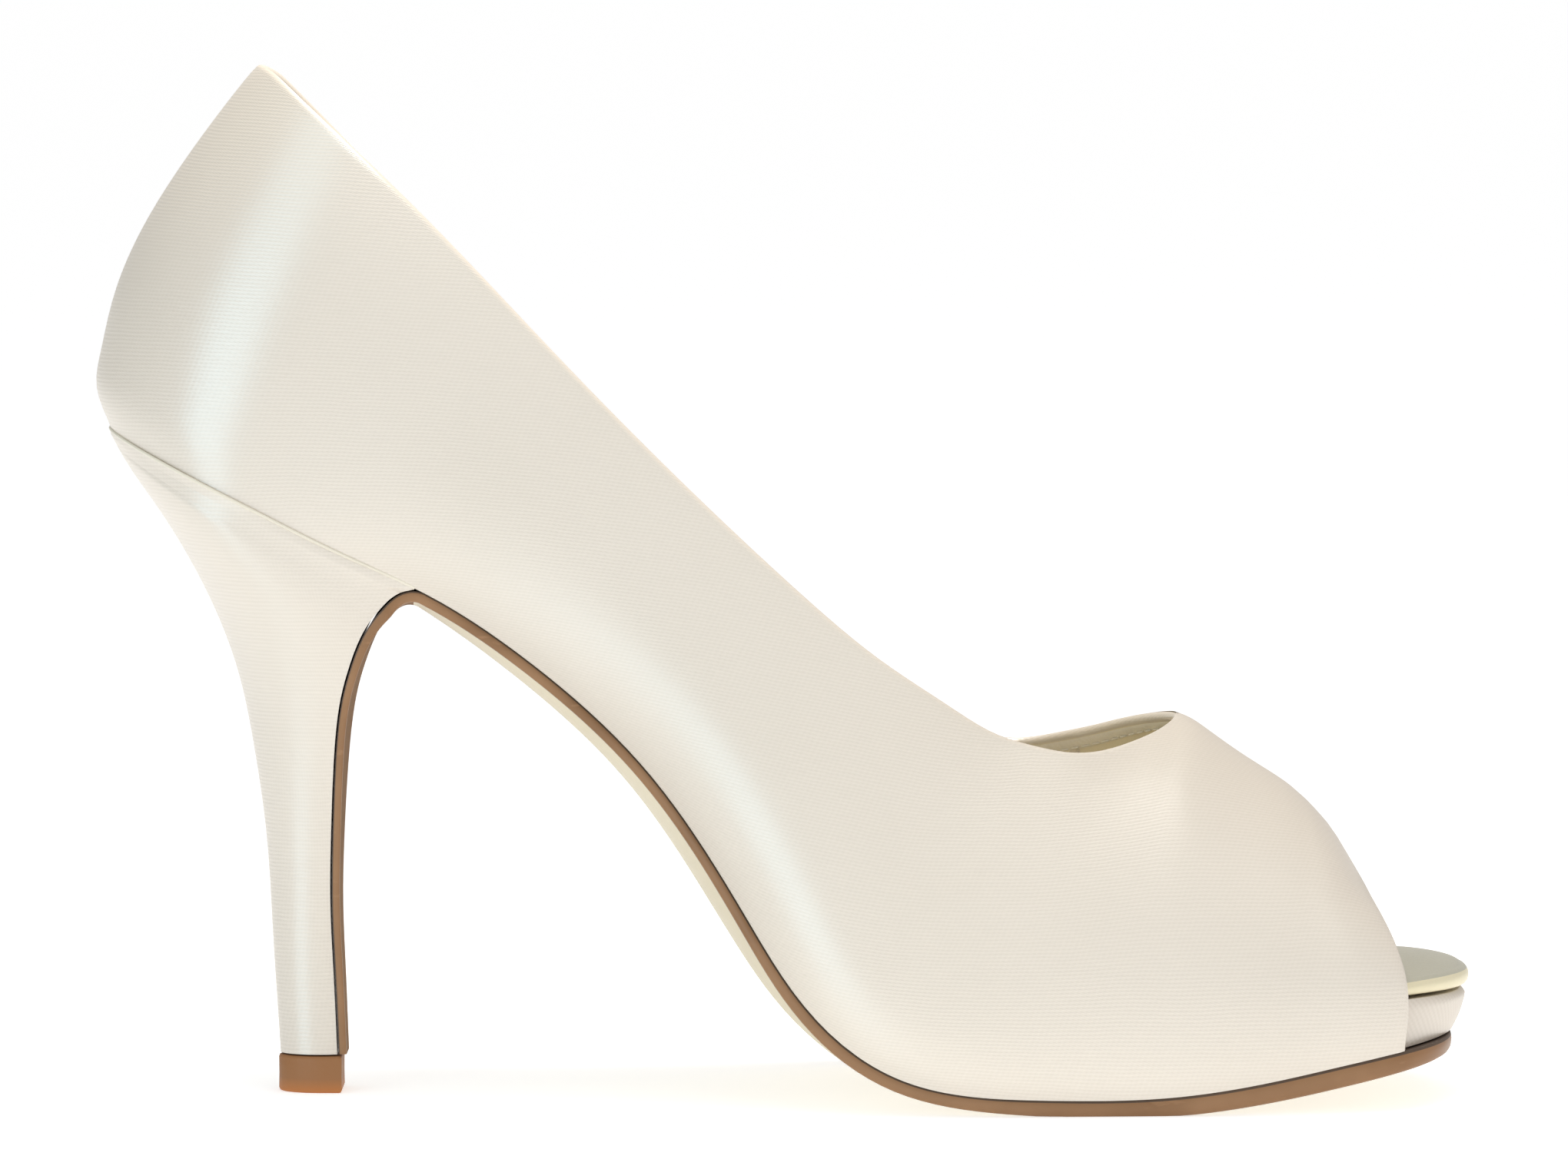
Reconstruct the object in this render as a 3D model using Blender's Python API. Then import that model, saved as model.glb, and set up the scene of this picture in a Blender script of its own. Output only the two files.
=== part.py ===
"""Peep toe pump with a tall covered heel, left shoe.

Metres, +Z up. +X points to the toe, -Y is the inner side of the foot, and the floor is at Z = 0.
The bed line runs on top of the sole from the back of the heel seat to the tip of the toe. Section
planes stand on it, and every piece is worked out from the same sections.
"""
import math

import bmesh
import bpy
import numpy as np

# Overall sizes
LENGTH = 0.2300
HEEL_HEIGHT = 0.1113
BALL_WIDTH = 0.0795
SEAT_WIDTH = 0.0510
WAIST_WIDTH = 0.0340
TOE_SPRING = 0.0089
TOE_SWING = 0.0030

# Upper
UPPER_WALL = 0.0016
BACK_HEIGHT = 0.0671
SIDE_HEIGHT = 0.0417
INSTEP_HEIGHT = 0.0629
OUTER_DROP = 0.0045
BACK_BULGE = 0.0090
BACK_FADE = 0.0600
PEEP_HEIGHT = 0.0271
PEEP_BOW = 0.0029
PEEP_FADE = 0.0200
SEAT_ROUND = 0.0260
NOSE_ROUND = 0.0222
THROAT_ROUND = 0.0440

# Sole, platform and insole
SOLE_THICKNESS = 0.0029
WAIST_THICKNESS = 0.0019
FLAP_THICKNESS = 0.0013
TREAD_FLAT = 0.0003
SOLE_INSET = 0.0005
SOLE_NOSE_INSET = 0.0055
SOLE_NOSE_BEVEL = 0.0012
SOLE_NOSE_POWER = 2.6
EDGE_BEVEL = 0.0006
BEND_RADIUS = 0.0032
WAIST_DISH = 0.0034
INSOLE_DEPTH = 0.0030
INSOLE_CROWN = 0.0034
PLATFORM_HEIGHT = 0.0095
PLATFORM_TAPER = 0.0024
PLATFORM_RECESS = 0.0008

# Heel and top piece
HEEL_LIP = 0.0005
TIP_LENGTH = 0.0113
TIP_WIDTH = 0.0100
BREAST_REACH = 0.0081
TOP_PIECE_HEIGHT = 0.0062
TOP_PIECE_EDGE = 0.0003
TOP_PIECE_SETBACK = 0.0008

# Edges and joints
CLEARANCE = 0.0003
WELD = 1e-6
INSOLE_LOW_PULL = 0.0005
INSOLE_TOP_PULL = 0.0006
TOP_PIECE_PULL = 0.0002
TOP_PIECE_BEVEL = 0.0006

# Places along the bed line, as shares of its length, and other shares
SEAT_END_SHARE = 0.2115
BEND_START_SHARE = 0.220
EASE_START_SHARE = 0.41
EASE_END_SHARE = 0.45
PLATFORM_SHARE = 0.46
SWING_START_SHARE = 0.60
THROAT_SHARE = 0.7715
PEEP_SHARE = 0.953
SLOPE_SHARE = 0.004

# Angles in degrees
BEND_END_ANGLE = 138.0
SHARP_ANGLE = 40.0

ACROSS = (-1.0, -0.75, -0.5, 0.0, 0.5, 0.75, 1.0)


def spline(knots, values):
    """Natural cubic spline through the knots, as a function of one number."""
    knots = np.asarray(knots, float)
    values = np.asarray(values, float)
    count = len(knots)
    step = np.diff(knots)
    matrix = np.eye(count)
    right = np.zeros(count)
    for i in range(1, count - 1):
        matrix[i, i - 1:i + 2] = step[i - 1], 2 * (step[i - 1] + step[i]), step[i]
        right[i] = 6 * ((values[i + 1] - values[i]) / step[i] - (values[i] - values[i - 1]) / step[i - 1])
    bend = np.linalg.solve(matrix, right)

    def at(x):
        x = min(max(x, knots[0]), knots[-1])
        i = min(max(int(np.searchsorted(knots, x)) - 1, 0), count - 2)
        before, after = x - knots[i], knots[i + 1] - x
        cubic = (bend[i] * after ** 3 + bend[i + 1] * before ** 3) / (6 * step[i])
        low = (values[i] / step[i] - bend[i] * step[i] / 6) * after
        high = (values[i + 1] / step[i] - bend[i + 1] * step[i] / 6) * before
        return float(cubic + low + high)

    return at


def columns(names, rows):
    """Smooth functions of the table's first column, one for each other named column."""
    names = names.split()
    data = np.array(rows, float).T
    return {name: spline(data[0], column) for name, column in zip(names[1:], data[1:])}


# Bed line: shares of the length, of the heel's height and of the toe spring, and lean in degrees
BED_ROWS = [
    # along, heel, spring, lean
    (-0.4883, 1.0000, 0.00, 23.0),
    (-0.3896, 0.8970, 0.00, 27.0),
    (-0.2800, 0.7680, 0.00, 31.5),
    (-0.1922, 0.6360, 0.00, 37.0),
    (-0.1096, 0.4710, 0.00, 41.5),
    (-0.0330, 0.2320, 0.00, 40.0),
    (0.0009, 0.1325, 0.00, 36.5),
    (0.0391, 0.0620, 0.00, 31.5),
    (0.0870, 0.0200, 0.00, 26.0),
    (0.1870, 0.0000, 0.00, 15.0),
    (0.2748, 0.0000, 0.02, 8.0),
    (0.3626, 0.0000, 0.34, 2.0),
    (0.4487, 0.0000, 0.80, -12.5),
    (0.5015, 0.0000, 1.00, -3.0),
]


def bed_line():
    """Arc length of the bed line, and its place and lean as functions of that length."""
    low = SOLE_THICKNESS - TREAD_FLAT
    points = []
    for along, heel, spring, lean in BED_ROWS:
        height = low + heel * (HEEL_HEIGHT - low) + spring * TOE_SPRING
        points.append((along * LENGTH, height, lean))
    points = np.array(points)
    steps = np.hypot(*np.diff(points[:, :2], axis=0).T)
    arc = np.concatenate([[0.0], np.cumsum(steps)])
    return arc[-1], [spline(arc, points[:, k]) for k in range(3)]


BED_LENGTH, (BED_X, BED_Z, BED_LEAN) = bed_line()

# Sole line: half widths of the upper's lower edge, and how far its edges rise over the bed line
SOLE_LINE = columns("at inner outer dish_in dish_out", [
    (0.00, 0.500 * SEAT_WIDTH, 0.500 * SEAT_WIDTH, 0.00 * WAIST_DISH, 0.00 * WAIST_DISH),
    (0.10, 0.500 * SEAT_WIDTH, 0.500 * SEAT_WIDTH, 0.00 * WAIST_DISH, 0.00 * WAIST_DISH),
    (0.16, 0.455 * SEAT_WIDTH, 0.465 * SEAT_WIDTH, 0.08 * WAIST_DISH, 0.00 * WAIST_DISH),
    (0.22, 0.550 * WAIST_WIDTH, 0.580 * WAIST_WIDTH, 0.52 * WAIST_DISH, 0.10 * WAIST_DISH),
    (0.29, 0.485 * WAIST_WIDTH, 0.515 * WAIST_WIDTH, 0.74 * WAIST_DISH, 0.20 * WAIST_DISH),
    (0.39, 0.560 * WAIST_WIDTH, 0.640 * WAIST_WIDTH, 0.88 * WAIST_DISH, 0.30 * WAIST_DISH),
    (0.50, 0.327 * BALL_WIDTH, 0.365 * BALL_WIDTH, 1.00 * WAIST_DISH, 0.35 * WAIST_DISH),
    (0.55, 0.366 * BALL_WIDTH, 0.401 * BALL_WIDTH, 0.86 * WAIST_DISH, 0.34 * WAIST_DISH),
    (0.60, 0.403 * BALL_WIDTH, 0.434 * BALL_WIDTH, 0.57 * WAIST_DISH, 0.28 * WAIST_DISH),
    (0.64, 0.427 * BALL_WIDTH, 0.457 * BALL_WIDTH, 0.22 * WAIST_DISH, 0.18 * WAIST_DISH),
    (0.69, 0.450 * BALL_WIDTH, 0.478 * BALL_WIDTH, 0.05 * WAIST_DISH, 0.09 * WAIST_DISH),
    (0.77, 0.447 * BALL_WIDTH, 0.478 * BALL_WIDTH, 0.05 * WAIST_DISH, 0.08 * WAIST_DISH),
    (0.84, 0.421 * BALL_WIDTH, 0.459 * BALL_WIDTH, 0.09 * WAIST_DISH, 0.09 * WAIST_DISH),
    (0.92, 0.370 * BALL_WIDTH, 0.428 * BALL_WIDTH, 0.09 * WAIST_DISH, 0.09 * WAIST_DISH),
    (1.00, 0.340 * BALL_WIDTH, 0.415 * BALL_WIDTH, 0.09 * WAIST_DISH, 0.09 * WAIST_DISH),
])

# Widest place of the upper's sides
SIDE = columns("at inner outer height", [
    (0.00, 0.530 * SEAT_WIDTH, 0.530 * SEAT_WIDTH, 0.33 * BACK_HEIGHT),
    (0.10, 0.530 * SEAT_WIDTH, 0.530 * SEAT_WIDTH, 0.33 * BACK_HEIGHT),
    (0.20, 0.520 * SEAT_WIDTH, 0.530 * SEAT_WIDTH, 0.36 * BACK_HEIGHT),
    (0.29, 0.334 * BALL_WIDTH, 0.358 * BALL_WIDTH, 0.56 * SIDE_HEIGHT),
    (0.39, 0.365 * BALL_WIDTH, 0.402 * BALL_WIDTH, 0.50 * SIDE_HEIGHT),
    (0.50, 0.421 * BALL_WIDTH, 0.459 * BALL_WIDTH, 0.30 * INSTEP_HEIGHT),
    (0.60, 0.469 * BALL_WIDTH, 0.497 * BALL_WIDTH, 0.24 * INSTEP_HEIGHT),
    (0.69, 0.484 * BALL_WIDTH, 0.516 * BALL_WIDTH, 0.20 * INSTEP_HEIGHT),
    (0.77, 0.469 * BALL_WIDTH, 0.503 * BALL_WIDTH, 0.19 * INSTEP_HEIGHT),
    (0.84, 0.440 * BALL_WIDTH, 0.478 * BALL_WIDTH, 0.18 * INSTEP_HEIGHT),
    (0.92, 0.390 * BALL_WIDTH, 0.444 * BALL_WIDTH, 0.16 * INSTEP_HEIGHT),
    (1.00, 0.352 * BALL_WIDTH, 0.428 * BALL_WIDTH, 0.14 * INSTEP_HEIGHT),
])

# Height of the topline, and how much lower it runs on the outer side
TOPLINE = columns("at height drop", [
    (0.000, 1.000 * BACK_HEIGHT, 0.00 * OUTER_DROP),
    (0.096, 0.868 * BACK_HEIGHT, 0.65 * OUTER_DROP),
    (0.202, 0.714 * BACK_HEIGHT, 0.90 * OUTER_DROP),
    (0.293, 1.022 * SIDE_HEIGHT, 1.00 * OUTER_DROP),
    (0.338, 1.000 * SIDE_HEIGHT, 1.00 * OUTER_DROP),
    (0.389, 1.019 * SIDE_HEIGHT, 1.00 * OUTER_DROP),
    (0.449, 1.115 * SIDE_HEIGHT, 1.00 * OUTER_DROP),
    (0.506, 0.836 * INSTEP_HEIGHT, 1.00 * OUTER_DROP),
    (0.556, 0.912 * INSTEP_HEIGHT, 1.04 * OUTER_DROP),
    (0.600, 0.962 * INSTEP_HEIGHT, 0.97 * OUTER_DROP),
    (0.644, 0.969 * INSTEP_HEIGHT, 0.33 * OUTER_DROP),
    (0.689, 0.959 * INSTEP_HEIGHT, -0.11 * OUTER_DROP),
    (0.730, 0.962 * INSTEP_HEIGHT, -0.27 * OUTER_DROP),
    (0.757, 0.977 * INSTEP_HEIGHT, -0.16 * OUTER_DROP),
    (THROAT_SHARE, 0.992 * INSTEP_HEIGHT, 0.00 * OUTER_DROP),
])

# Height of the last's ridge, which the topline cuts off behind the throat
RIDGE = columns("at height", [
    (0.000, 1.52 * BACK_HEIGHT),
    (0.096, 1.42 * BACK_HEIGHT),
    (0.202, 1.45 * BACK_HEIGHT),
    (0.293, 2.40 * SIDE_HEIGHT),
    (0.389, 2.18 * SIDE_HEIGHT),
    (0.449, 1.98 * SIDE_HEIGHT),
    (0.506, 1.260 * INSTEP_HEIGHT),
    (0.600, 1.250 * INSTEP_HEIGHT),
    (0.644, 1.205 * INSTEP_HEIGHT),
    (0.689, 1.120 * INSTEP_HEIGHT),
    (0.730, 1.046 * INSTEP_HEIGHT),
    (0.757, 1.010 * INSTEP_HEIGHT),
    (THROAT_SHARE, 0.992 * INSTEP_HEIGHT),
    (0.780, 0.981 * INSTEP_HEIGHT),
    (0.790, 0.964 * INSTEP_HEIGHT),
    (0.805, 0.929 * INSTEP_HEIGHT),
    (0.842, 0.823 * INSTEP_HEIGHT),
    (0.880, 0.724 * INSTEP_HEIGHT),
    (0.918, 0.651 * INSTEP_HEIGHT),
    (0.937, 0.588 * INSTEP_HEIGHT),
    (PEEP_SHARE, 1.000 * PEEP_HEIGHT),
])

# How far the back curve stands behind its section plane, by height
BACK_CURVE = columns("height bulge", [
    (0.00 * BACK_HEIGHT, 0.00 * BACK_BULGE),
    (0.07 * BACK_HEIGHT, 0.53 * BACK_BULGE),
    (0.16 * BACK_HEIGHT, 0.77 * BACK_BULGE),
    (0.30 * BACK_HEIGHT, 0.95 * BACK_BULGE),
    (0.45 * BACK_HEIGHT, 0.98 * BACK_BULGE),
    (0.65 * BACK_HEIGHT, 0.78 * BACK_BULGE),
    (0.82 * BACK_HEIGHT, 0.50 * BACK_BULGE),
    (1.00 * BACK_HEIGHT, 0.17 * BACK_BULGE),
])

# Thickness of platform, outsole and insole along the bed line, and the swell of the insole's middle
STACK = columns("at platform outsole insole crown", [
    (0.00, 0.10 * PLATFORM_HEIGHT, 1.00 * WAIST_THICKNESS, 1.00 * INSOLE_DEPTH, 0.00 * INSOLE_CROWN),
    (0.22, 0.10 * PLATFORM_HEIGHT, 1.00 * WAIST_THICKNESS, 1.00 * INSOLE_DEPTH, 0.00 * INSOLE_CROWN),
    (0.35, 0.10 * PLATFORM_HEIGHT, 1.00 * WAIST_THICKNESS, 1.00 * INSOLE_DEPTH, 0.00 * INSOLE_CROWN),
    (PLATFORM_SHARE, 0.10 * PLATFORM_HEIGHT, 1.00 * WAIST_THICKNESS, 1.00 * INSOLE_DEPTH, 0.00 * INSOLE_CROWN),
    (0.54, 0.36 * PLATFORM_HEIGHT, 1.10 * WAIST_THICKNESS, 1.00 * INSOLE_DEPTH, 0.00 * INSOLE_CROWN),
    (0.62, 0.78 * PLATFORM_HEIGHT, 0.76 * SOLE_THICKNESS, 1.00 * INSOLE_DEPTH, 0.00 * INSOLE_CROWN),
    (0.66, 0.91 * PLATFORM_HEIGHT, 0.79 * SOLE_THICKNESS, 1.00 * INSOLE_DEPTH, 0.02 * INSOLE_CROWN),
    (0.70, 1.00 * PLATFORM_HEIGHT, 0.88 * SOLE_THICKNESS, 1.00 * INSOLE_DEPTH, 0.05 * INSOLE_CROWN),
    (0.74, 1.02 * PLATFORM_HEIGHT, 1.00 * SOLE_THICKNESS, 0.98 * INSOLE_DEPTH, 0.15 * INSOLE_CROWN),
    (0.80, 1.00 * PLATFORM_HEIGHT, 1.12 * SOLE_THICKNESS, 0.95 * INSOLE_DEPTH, 0.35 * INSOLE_CROWN),
    (0.95, 0.85 * PLATFORM_HEIGHT, 1.12 * SOLE_THICKNESS, 0.88 * INSOLE_DEPTH, 1.00 * INSOLE_CROWN),
    (1.00, 0.66 * PLATFORM_HEIGHT, 0.85 * SOLE_THICKNESS, 1.12 * INSOLE_DEPTH, 0.90 * INSOLE_CROWN),
])

# Heel, by share of the way down: back curve, half width, round share of its length, front width
HEEL = columns("down back half round front", [
    (0.00, 1.000, 0.500 * SEAT_WIDTH, 0.47, 0.76),
    (0.05, 0.894, 0.478 * SEAT_WIDTH, 0.50, 0.78),
    (0.10, 0.766, 0.436 * SEAT_WIDTH, 0.53, 0.81),
    (0.20, 0.535, 0.340 * SEAT_WIDTH, 0.58, 0.86),
    (0.30, 0.355, 0.266 * SEAT_WIDTH, 0.64, 0.88),
    (0.40, 0.230, 0.212 * SEAT_WIDTH, 0.68, 0.89),
    (0.50, 0.156, 0.886 * TIP_WIDTH, 0.70, 0.90),
    (0.65, 0.080, 0.700 * TIP_WIDTH, 0.70, 0.90),
    (0.80, 0.046, 0.580 * TIP_WIDTH, 0.70, 0.90),
    (1.00, 0.000, 0.500 * TIP_WIDTH, 0.70, 0.90),
])

# Sole's flap on the heel's front, by share of the way down: reach of its rear face, and thickness
BREAST = columns("down reach thick", [
    (0.000, 1.000 * BREAST_REACH, 1.00 * WAIST_THICKNESS),
    (0.020, 0.840 * BREAST_REACH, 0.94 * WAIST_THICKNESS),
    (0.060, 0.605 * BREAST_REACH, 0.84 * WAIST_THICKNESS),
    (0.128, 0.350 * BREAST_REACH, 1.08 * FLAP_THICKNESS),
    (0.195, 0.170 * BREAST_REACH, 1.02 * FLAP_THICKNESS),
    (0.264, 0.060 * BREAST_REACH, 1.00 * FLAP_THICKNESS),
    (0.365, -0.025 * BREAST_REACH, 1.00 * FLAP_THICKNESS),
    (0.534, -0.100 * BREAST_REACH, 1.00 * FLAP_THICKNESS),
    (0.670, -0.120 * BREAST_REACH, 1.00 * FLAP_THICKNESS),
    (0.810, -0.070 * BREAST_REACH, 1.00 * FLAP_THICKNESS),
    (1.000, 0.000 * BREAST_REACH, 1.00 * FLAP_THICKNESS),
])
BEND_STEPS = 7
BEND_HIDDEN = 2
DOWN_STEPS = (0.02, 0.05, 0.09, 0.13, 0.18, 0.24, 0.30, 0.37, 0.45, 0.54, 0.64, 0.76, 0.88, 1.0)


def swing(arc):
    """Sideways shift of the section's middle towards the inner side, near the toe."""
    return -TOE_SWING * (max(0.0, arc / BED_LENGTH - SWING_START_SHARE) / (1 - SWING_START_SHARE)) ** 2


def centre_shift():
    """Sideways place of the shoe that keeps the origin under the middle of its width."""
    places = [k / 200 for k in range(201)]
    outer = max(SIDE["outer"](at) + swing(at * BED_LENGTH) for at in places)
    inner = max(SIDE["inner"](at) - swing(at * BED_LENGTH) for at in places)
    return 0.5 * (inner - outer)


def frame(arc):
    """Foot of the section plane on the bed line, and its unit up and forward directions."""
    lean = math.radians(BED_LEAN(arc))
    up = np.array([math.sin(lean), 0.0, math.cos(lean)])
    forward = np.array([math.cos(lean), 0.0, -math.sin(lean)])
    return np.array([BED_X(arc), swing(arc), BED_Z(arc)]), up, forward


def rounding(arc, inset=0.0, nose_inset=None, power=2.0):
    """Share of the full width left by the round back of the seat and the round toe."""
    nose_inset = inset if nose_inset is None else nose_inset
    share = 1.0
    if arc < SEAT_ROUND:
        share *= math.sqrt(max(0.0, 1 - ((SEAT_ROUND - arc) / (SEAT_ROUND - inset)) ** 2))
    nose_start = BED_LENGTH - NOSE_ROUND
    if arc > nose_start:
        reach = NOSE_ROUND + UPPER_WALL + CLEARANCE - nose_inset
        share *= max(0.0, 1 - ((arc - nose_start) / reach) ** power) ** (1 / power)
    return share


def sole_point(arc, share, height, inset=0.0, nose_inset=None, power=2.0):
    """Point over the bed, at a share of the half width: -1 is the inner edge, +1 the outer."""
    at = arc / BED_LENGTH
    side = "inner" if share < 0 else "outer"
    round_off = rounding(arc, inset, nose_inset, power)
    dish = SOLE_LINE["dish_in" if share < 0 else "dish_out"](at) * (share * round_off) ** 2
    half = (SOLE_LINE[side](at) - inset) * round_off
    foot, up, _ = frame(arc)
    return foot + up * (height + dish) + np.array([0.0, share * half, 0.0])


def sole_row(arc, height, inset=0.0, nose_inset=None, power=2.0):
    return [sole_point(arc, share, height, inset, nose_inset, power) for share in ACROSS]


def bezier(a, b, c, d, t):
    return (1 - t) ** 3 * a + 3 * (1 - t) ** 2 * t * b + 3 * (1 - t) * t ** 2 * c + t ** 3 * d


def topline_share(arc, side):
    """How far up to the ridge the wall reaches: 1 in front of the throat."""
    at = arc / BED_LENGTH
    if at >= THROAT_SHARE:
        return 1.0
    drop = TOPLINE["drop"](at) if side == "outer" else 0.0
    low = SIDE["height"](at)
    return min(1.0, (TOPLINE["height"](at) - drop - low) / (RIDGE["height"](at) - low))


def upper_point(arc, side, level):
    """Point of the upper's outer face: level 0 is the sole line, 1 the widest place, 2 the top."""
    at = arc / BED_LENGTH
    round_off = rounding(arc)
    wide = SIDE[side](at) * round_off
    wide_height = SIDE["height"](at)
    if level <= 1:
        dish = SOLE_LINE["dish_in" if side == "inner" else "dish_out"](at) * round_off ** 2
        start = np.array([SOLE_LINE[side](at) * round_off, CLEARANCE + dish])
        end = np.array([wide, wide_height])
        out, rise = end - start
        half, height = bezier(start, start + [0.6 * out, 0.2 * rise], end - [0, 0.5 * rise], end, level)
    else:
        turn = (level - 1) * math.asin(topline_share(arc, side))
        half = wide * math.cos(turn)
        height = wide_height + (RIDGE["height"](at) - wide_height) * math.sin(turn)
    behind = max(0.0, 1 - arc / BACK_FADE) ** 2
    ahead = max(0.0, 1 - (PEEP_SHARE * BED_LENGTH - arc) / PEEP_FADE) ** 2
    shift = PEEP_BOW * math.sin(math.pi * min(1.0, height / PEEP_HEIGHT)) * ahead
    shift -= BACK_CURVE["bulge"](height) * behind
    foot, up, forward = frame(arc)
    sign = -1 if side == "inner" else 1
    return foot + up * height + forward * shift + np.array([0.0, sign * half, 0.0])


def spaced(start, end, count):
    return list(np.linspace(start, end, count + 1)[1:])


def upper_stations():
    """Foot and top of each column of the upper, closer together round the back and the throat."""
    quarter = math.radians(90)
    back = [SEAT_ROUND * (1 - math.cos(quarter * k / 8)) for k in range(9)]
    throat = THROAT_SHARE * BED_LENGTH
    start = throat - THROAT_ROUND
    same = back + spaced(SEAT_ROUND, start, 15)
    front = spaced(throat, PEEP_SHARE * BED_LENGTH, 10)
    feet = same + spaced(start, throat, 9) + front
    tops = same + [start + THROAT_ROUND * math.sin(quarter * k / 9) for k in range(1, 9)] + [throat] + front
    return list(zip(feet, tops))


def upper_column(foot, top, side):
    """Outer face of the upper from the sole line to the topline or ridge, between two places."""
    levels = [k / 5 for k in range(5)] + [1 + k / 9 for k in range(10)]
    return [upper_point(foot + (top - foot) * (level / 2) ** 2, side, level) for level in levels]


def material(name, colour, roughness):
    made = bpy.data.materials.new(name)
    made.use_nodes = True
    shader = made.node_tree.nodes["Principled BSDF"]
    shader.inputs["Base Color"].default_value = (*colour, 1.0)
    shader.inputs["Roughness"].default_value = roughness
    shader.inputs["Metallic"].default_value = 0.0
    return made


def add_object(name, builder, finish):
    """Object of the builder's faces, welded and shaded smooth."""
    bmesh.ops.remove_doubles(builder, verts=builder.verts, dist=WELD)
    bmesh.ops.dissolve_degenerate(builder, edges=builder.edges, dist=WELD)
    mesh = bpy.data.meshes.new(name)
    builder.to_mesh(mesh)
    builder.free()
    mesh.materials.append(finish)
    mesh.shade_smooth()
    mesh.set_sharp_from_angle(angle=math.radians(SHARP_ANGLE))
    made = bpy.data.objects.new(name, mesh)
    made.location.y = centre_shift()
    bpy.context.scene.collection.objects.link(made)
    return made


def add_grid(builder, rows, flip=False):
    """Quads between rows of points; returns the rows' vertices."""
    verts = [[builder.verts.new(point) for point in row] for row in rows]
    for low, high in zip(verts, verts[1:]):
        for k in range(len(low) - 1):
            face = [low[k], low[k + 1], high[k + 1], high[k]]
            builder.faces.new(face[::-1] if flip else face)
    return verts


def rim(rows):
    """Closed outline of a grid whose rows run across the shoe."""
    back, front = rows[0], rows[-1]
    inner = [row[0] for row in rows]
    outer = [row[-1] for row in rows]
    return inner[:-1] + front[:-1] + outer[:0:-1] + back[:0:-1]


def add_stack(name, layers, finish):
    """Closed solid from a stack of grids: its lowest and highest are its faces."""
    builder = bmesh.new()
    low = add_grid(builder, layers[0])
    high = add_grid(builder, layers[-1], flip=True)
    rings = [rim(low)]
    for layer in layers[1:-1]:
        rings.append([builder.verts.new(point) for point in rim(layer)])
    rings.append(rim(high))
    for under, over in zip(rings, rings[1:]):
        for k in range(len(under)):
            after = (k + 1) % len(under)
            builder.faces.new([under[k], under[after], over[after], over[k]])
    bmesh.ops.remove_doubles(builder, verts=builder.verts, dist=WELD)
    bmesh.ops.recalc_face_normals(builder, faces=builder.faces)
    return add_object(name, builder, finish)


def add_wall(builder, thickness):
    """Give an open surface an inner face at the wall's distance, and close its free edges."""
    builder.normal_update()
    outside = list(builder.faces)
    free = [edge for edge in builder.edges if edge.is_boundary]
    inside = {vert: builder.verts.new(vert.co - vert.normal * thickness) for vert in list(builder.verts)}
    for edge in free:
        loop = edge.link_loops[0]
        first, second = loop.vert, loop.link_loop_next.vert
        builder.faces.new([second, first, inside[first], inside[second]])
    for face in outside:
        builder.faces.new([inside[vert] for vert in reversed(face.verts)])


def add_upper(finish):
    """Outer face of both sides, welded at the back and along the ridge, with a wall inside it."""
    builder = bmesh.new()
    stations = upper_stations()
    add_grid(builder, [upper_column(foot, top, "inner") for foot, top in stations], flip=True)
    add_grid(builder, [upper_column(foot, top, "outer") for foot, top in stations])
    bmesh.ops.remove_doubles(builder, verts=builder.verts, dist=WELD)
    bmesh.ops.dissolve_degenerate(builder, edges=builder.edges, dist=WELD)
    add_wall(builder, UPPER_WALL)
    return add_object("upper", builder, finish)


def bed_stations(start, end, count, inset, nose_inset=None):
    """Places along the bed between two lengths, closer together round the back and the toe."""
    nose_inset = inset if nose_inset is None else nose_inset
    tip = BED_LENGTH + UPPER_WALL + CLEARANCE - nose_inset
    places = []
    if start < inset + WELD:
        depth = SEAT_ROUND - inset
        places += [inset + depth * (1 - math.cos(math.radians(90) * k / 8)) for k in range(9)]
    else:
        places.append(start)
    if end is None:
        reach = tip - (BED_LENGTH - NOSE_ROUND)
        places += spaced(places[-1], tip - reach, count)
        places += [tip - reach + reach * math.sin(math.radians(90) * k / 9) for k in range(1, 10)]
    else:
        places += spaced(places[-1], end, count)
    return places


def insole_height(arc):
    """Underside of the insole over the bed: on the sole at the back, on the platform in front."""
    platform = STACK["platform"](arc / BED_LENGTH)
    start = STACK["platform"](PLATFORM_SHARE)
    return CLEARANCE + max(0.0, platform - start) + (2 * CLEARANCE + start) * ease(arc)


def ease(arc):
    """0 behind the platform and 1 over it, with a soft start."""
    share = (arc / BED_LENGTH - EASE_START_SHARE) / (EASE_END_SHARE - EASE_START_SHARE)
    share = min(max(share, 0.0), 1.0)
    return share * share * (3 - 2 * share)


def insole_row(arc, lift, inset):
    """One row of the insole at a share of its thickness, its middle swelling towards the top."""
    at = arc / BED_LENGTH
    height = insole_height(arc) + lift * STACK["insole"](at)
    swell = max(0.0, lift) * STACK["crown"](at) * rounding(arc, inset)
    return [sole_point(arc, share, height + swell * (1 - share * share), inset) for share in ACROSS]


def add_insole(finish):
    """Insole on the sole and the platform, out to its tip beyond the upper."""
    layers = []
    for lift, pull in ((0.0, INSOLE_LOW_PULL), (0.5, 0.0), (1.0, INSOLE_TOP_PULL)):
        inset = UPPER_WALL + CLEARANCE + pull
        layers.append([insole_row(arc, lift, inset) for arc in bed_stations(0.0, None, 26, inset)])
    return add_stack("insole", layers, finish)


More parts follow.
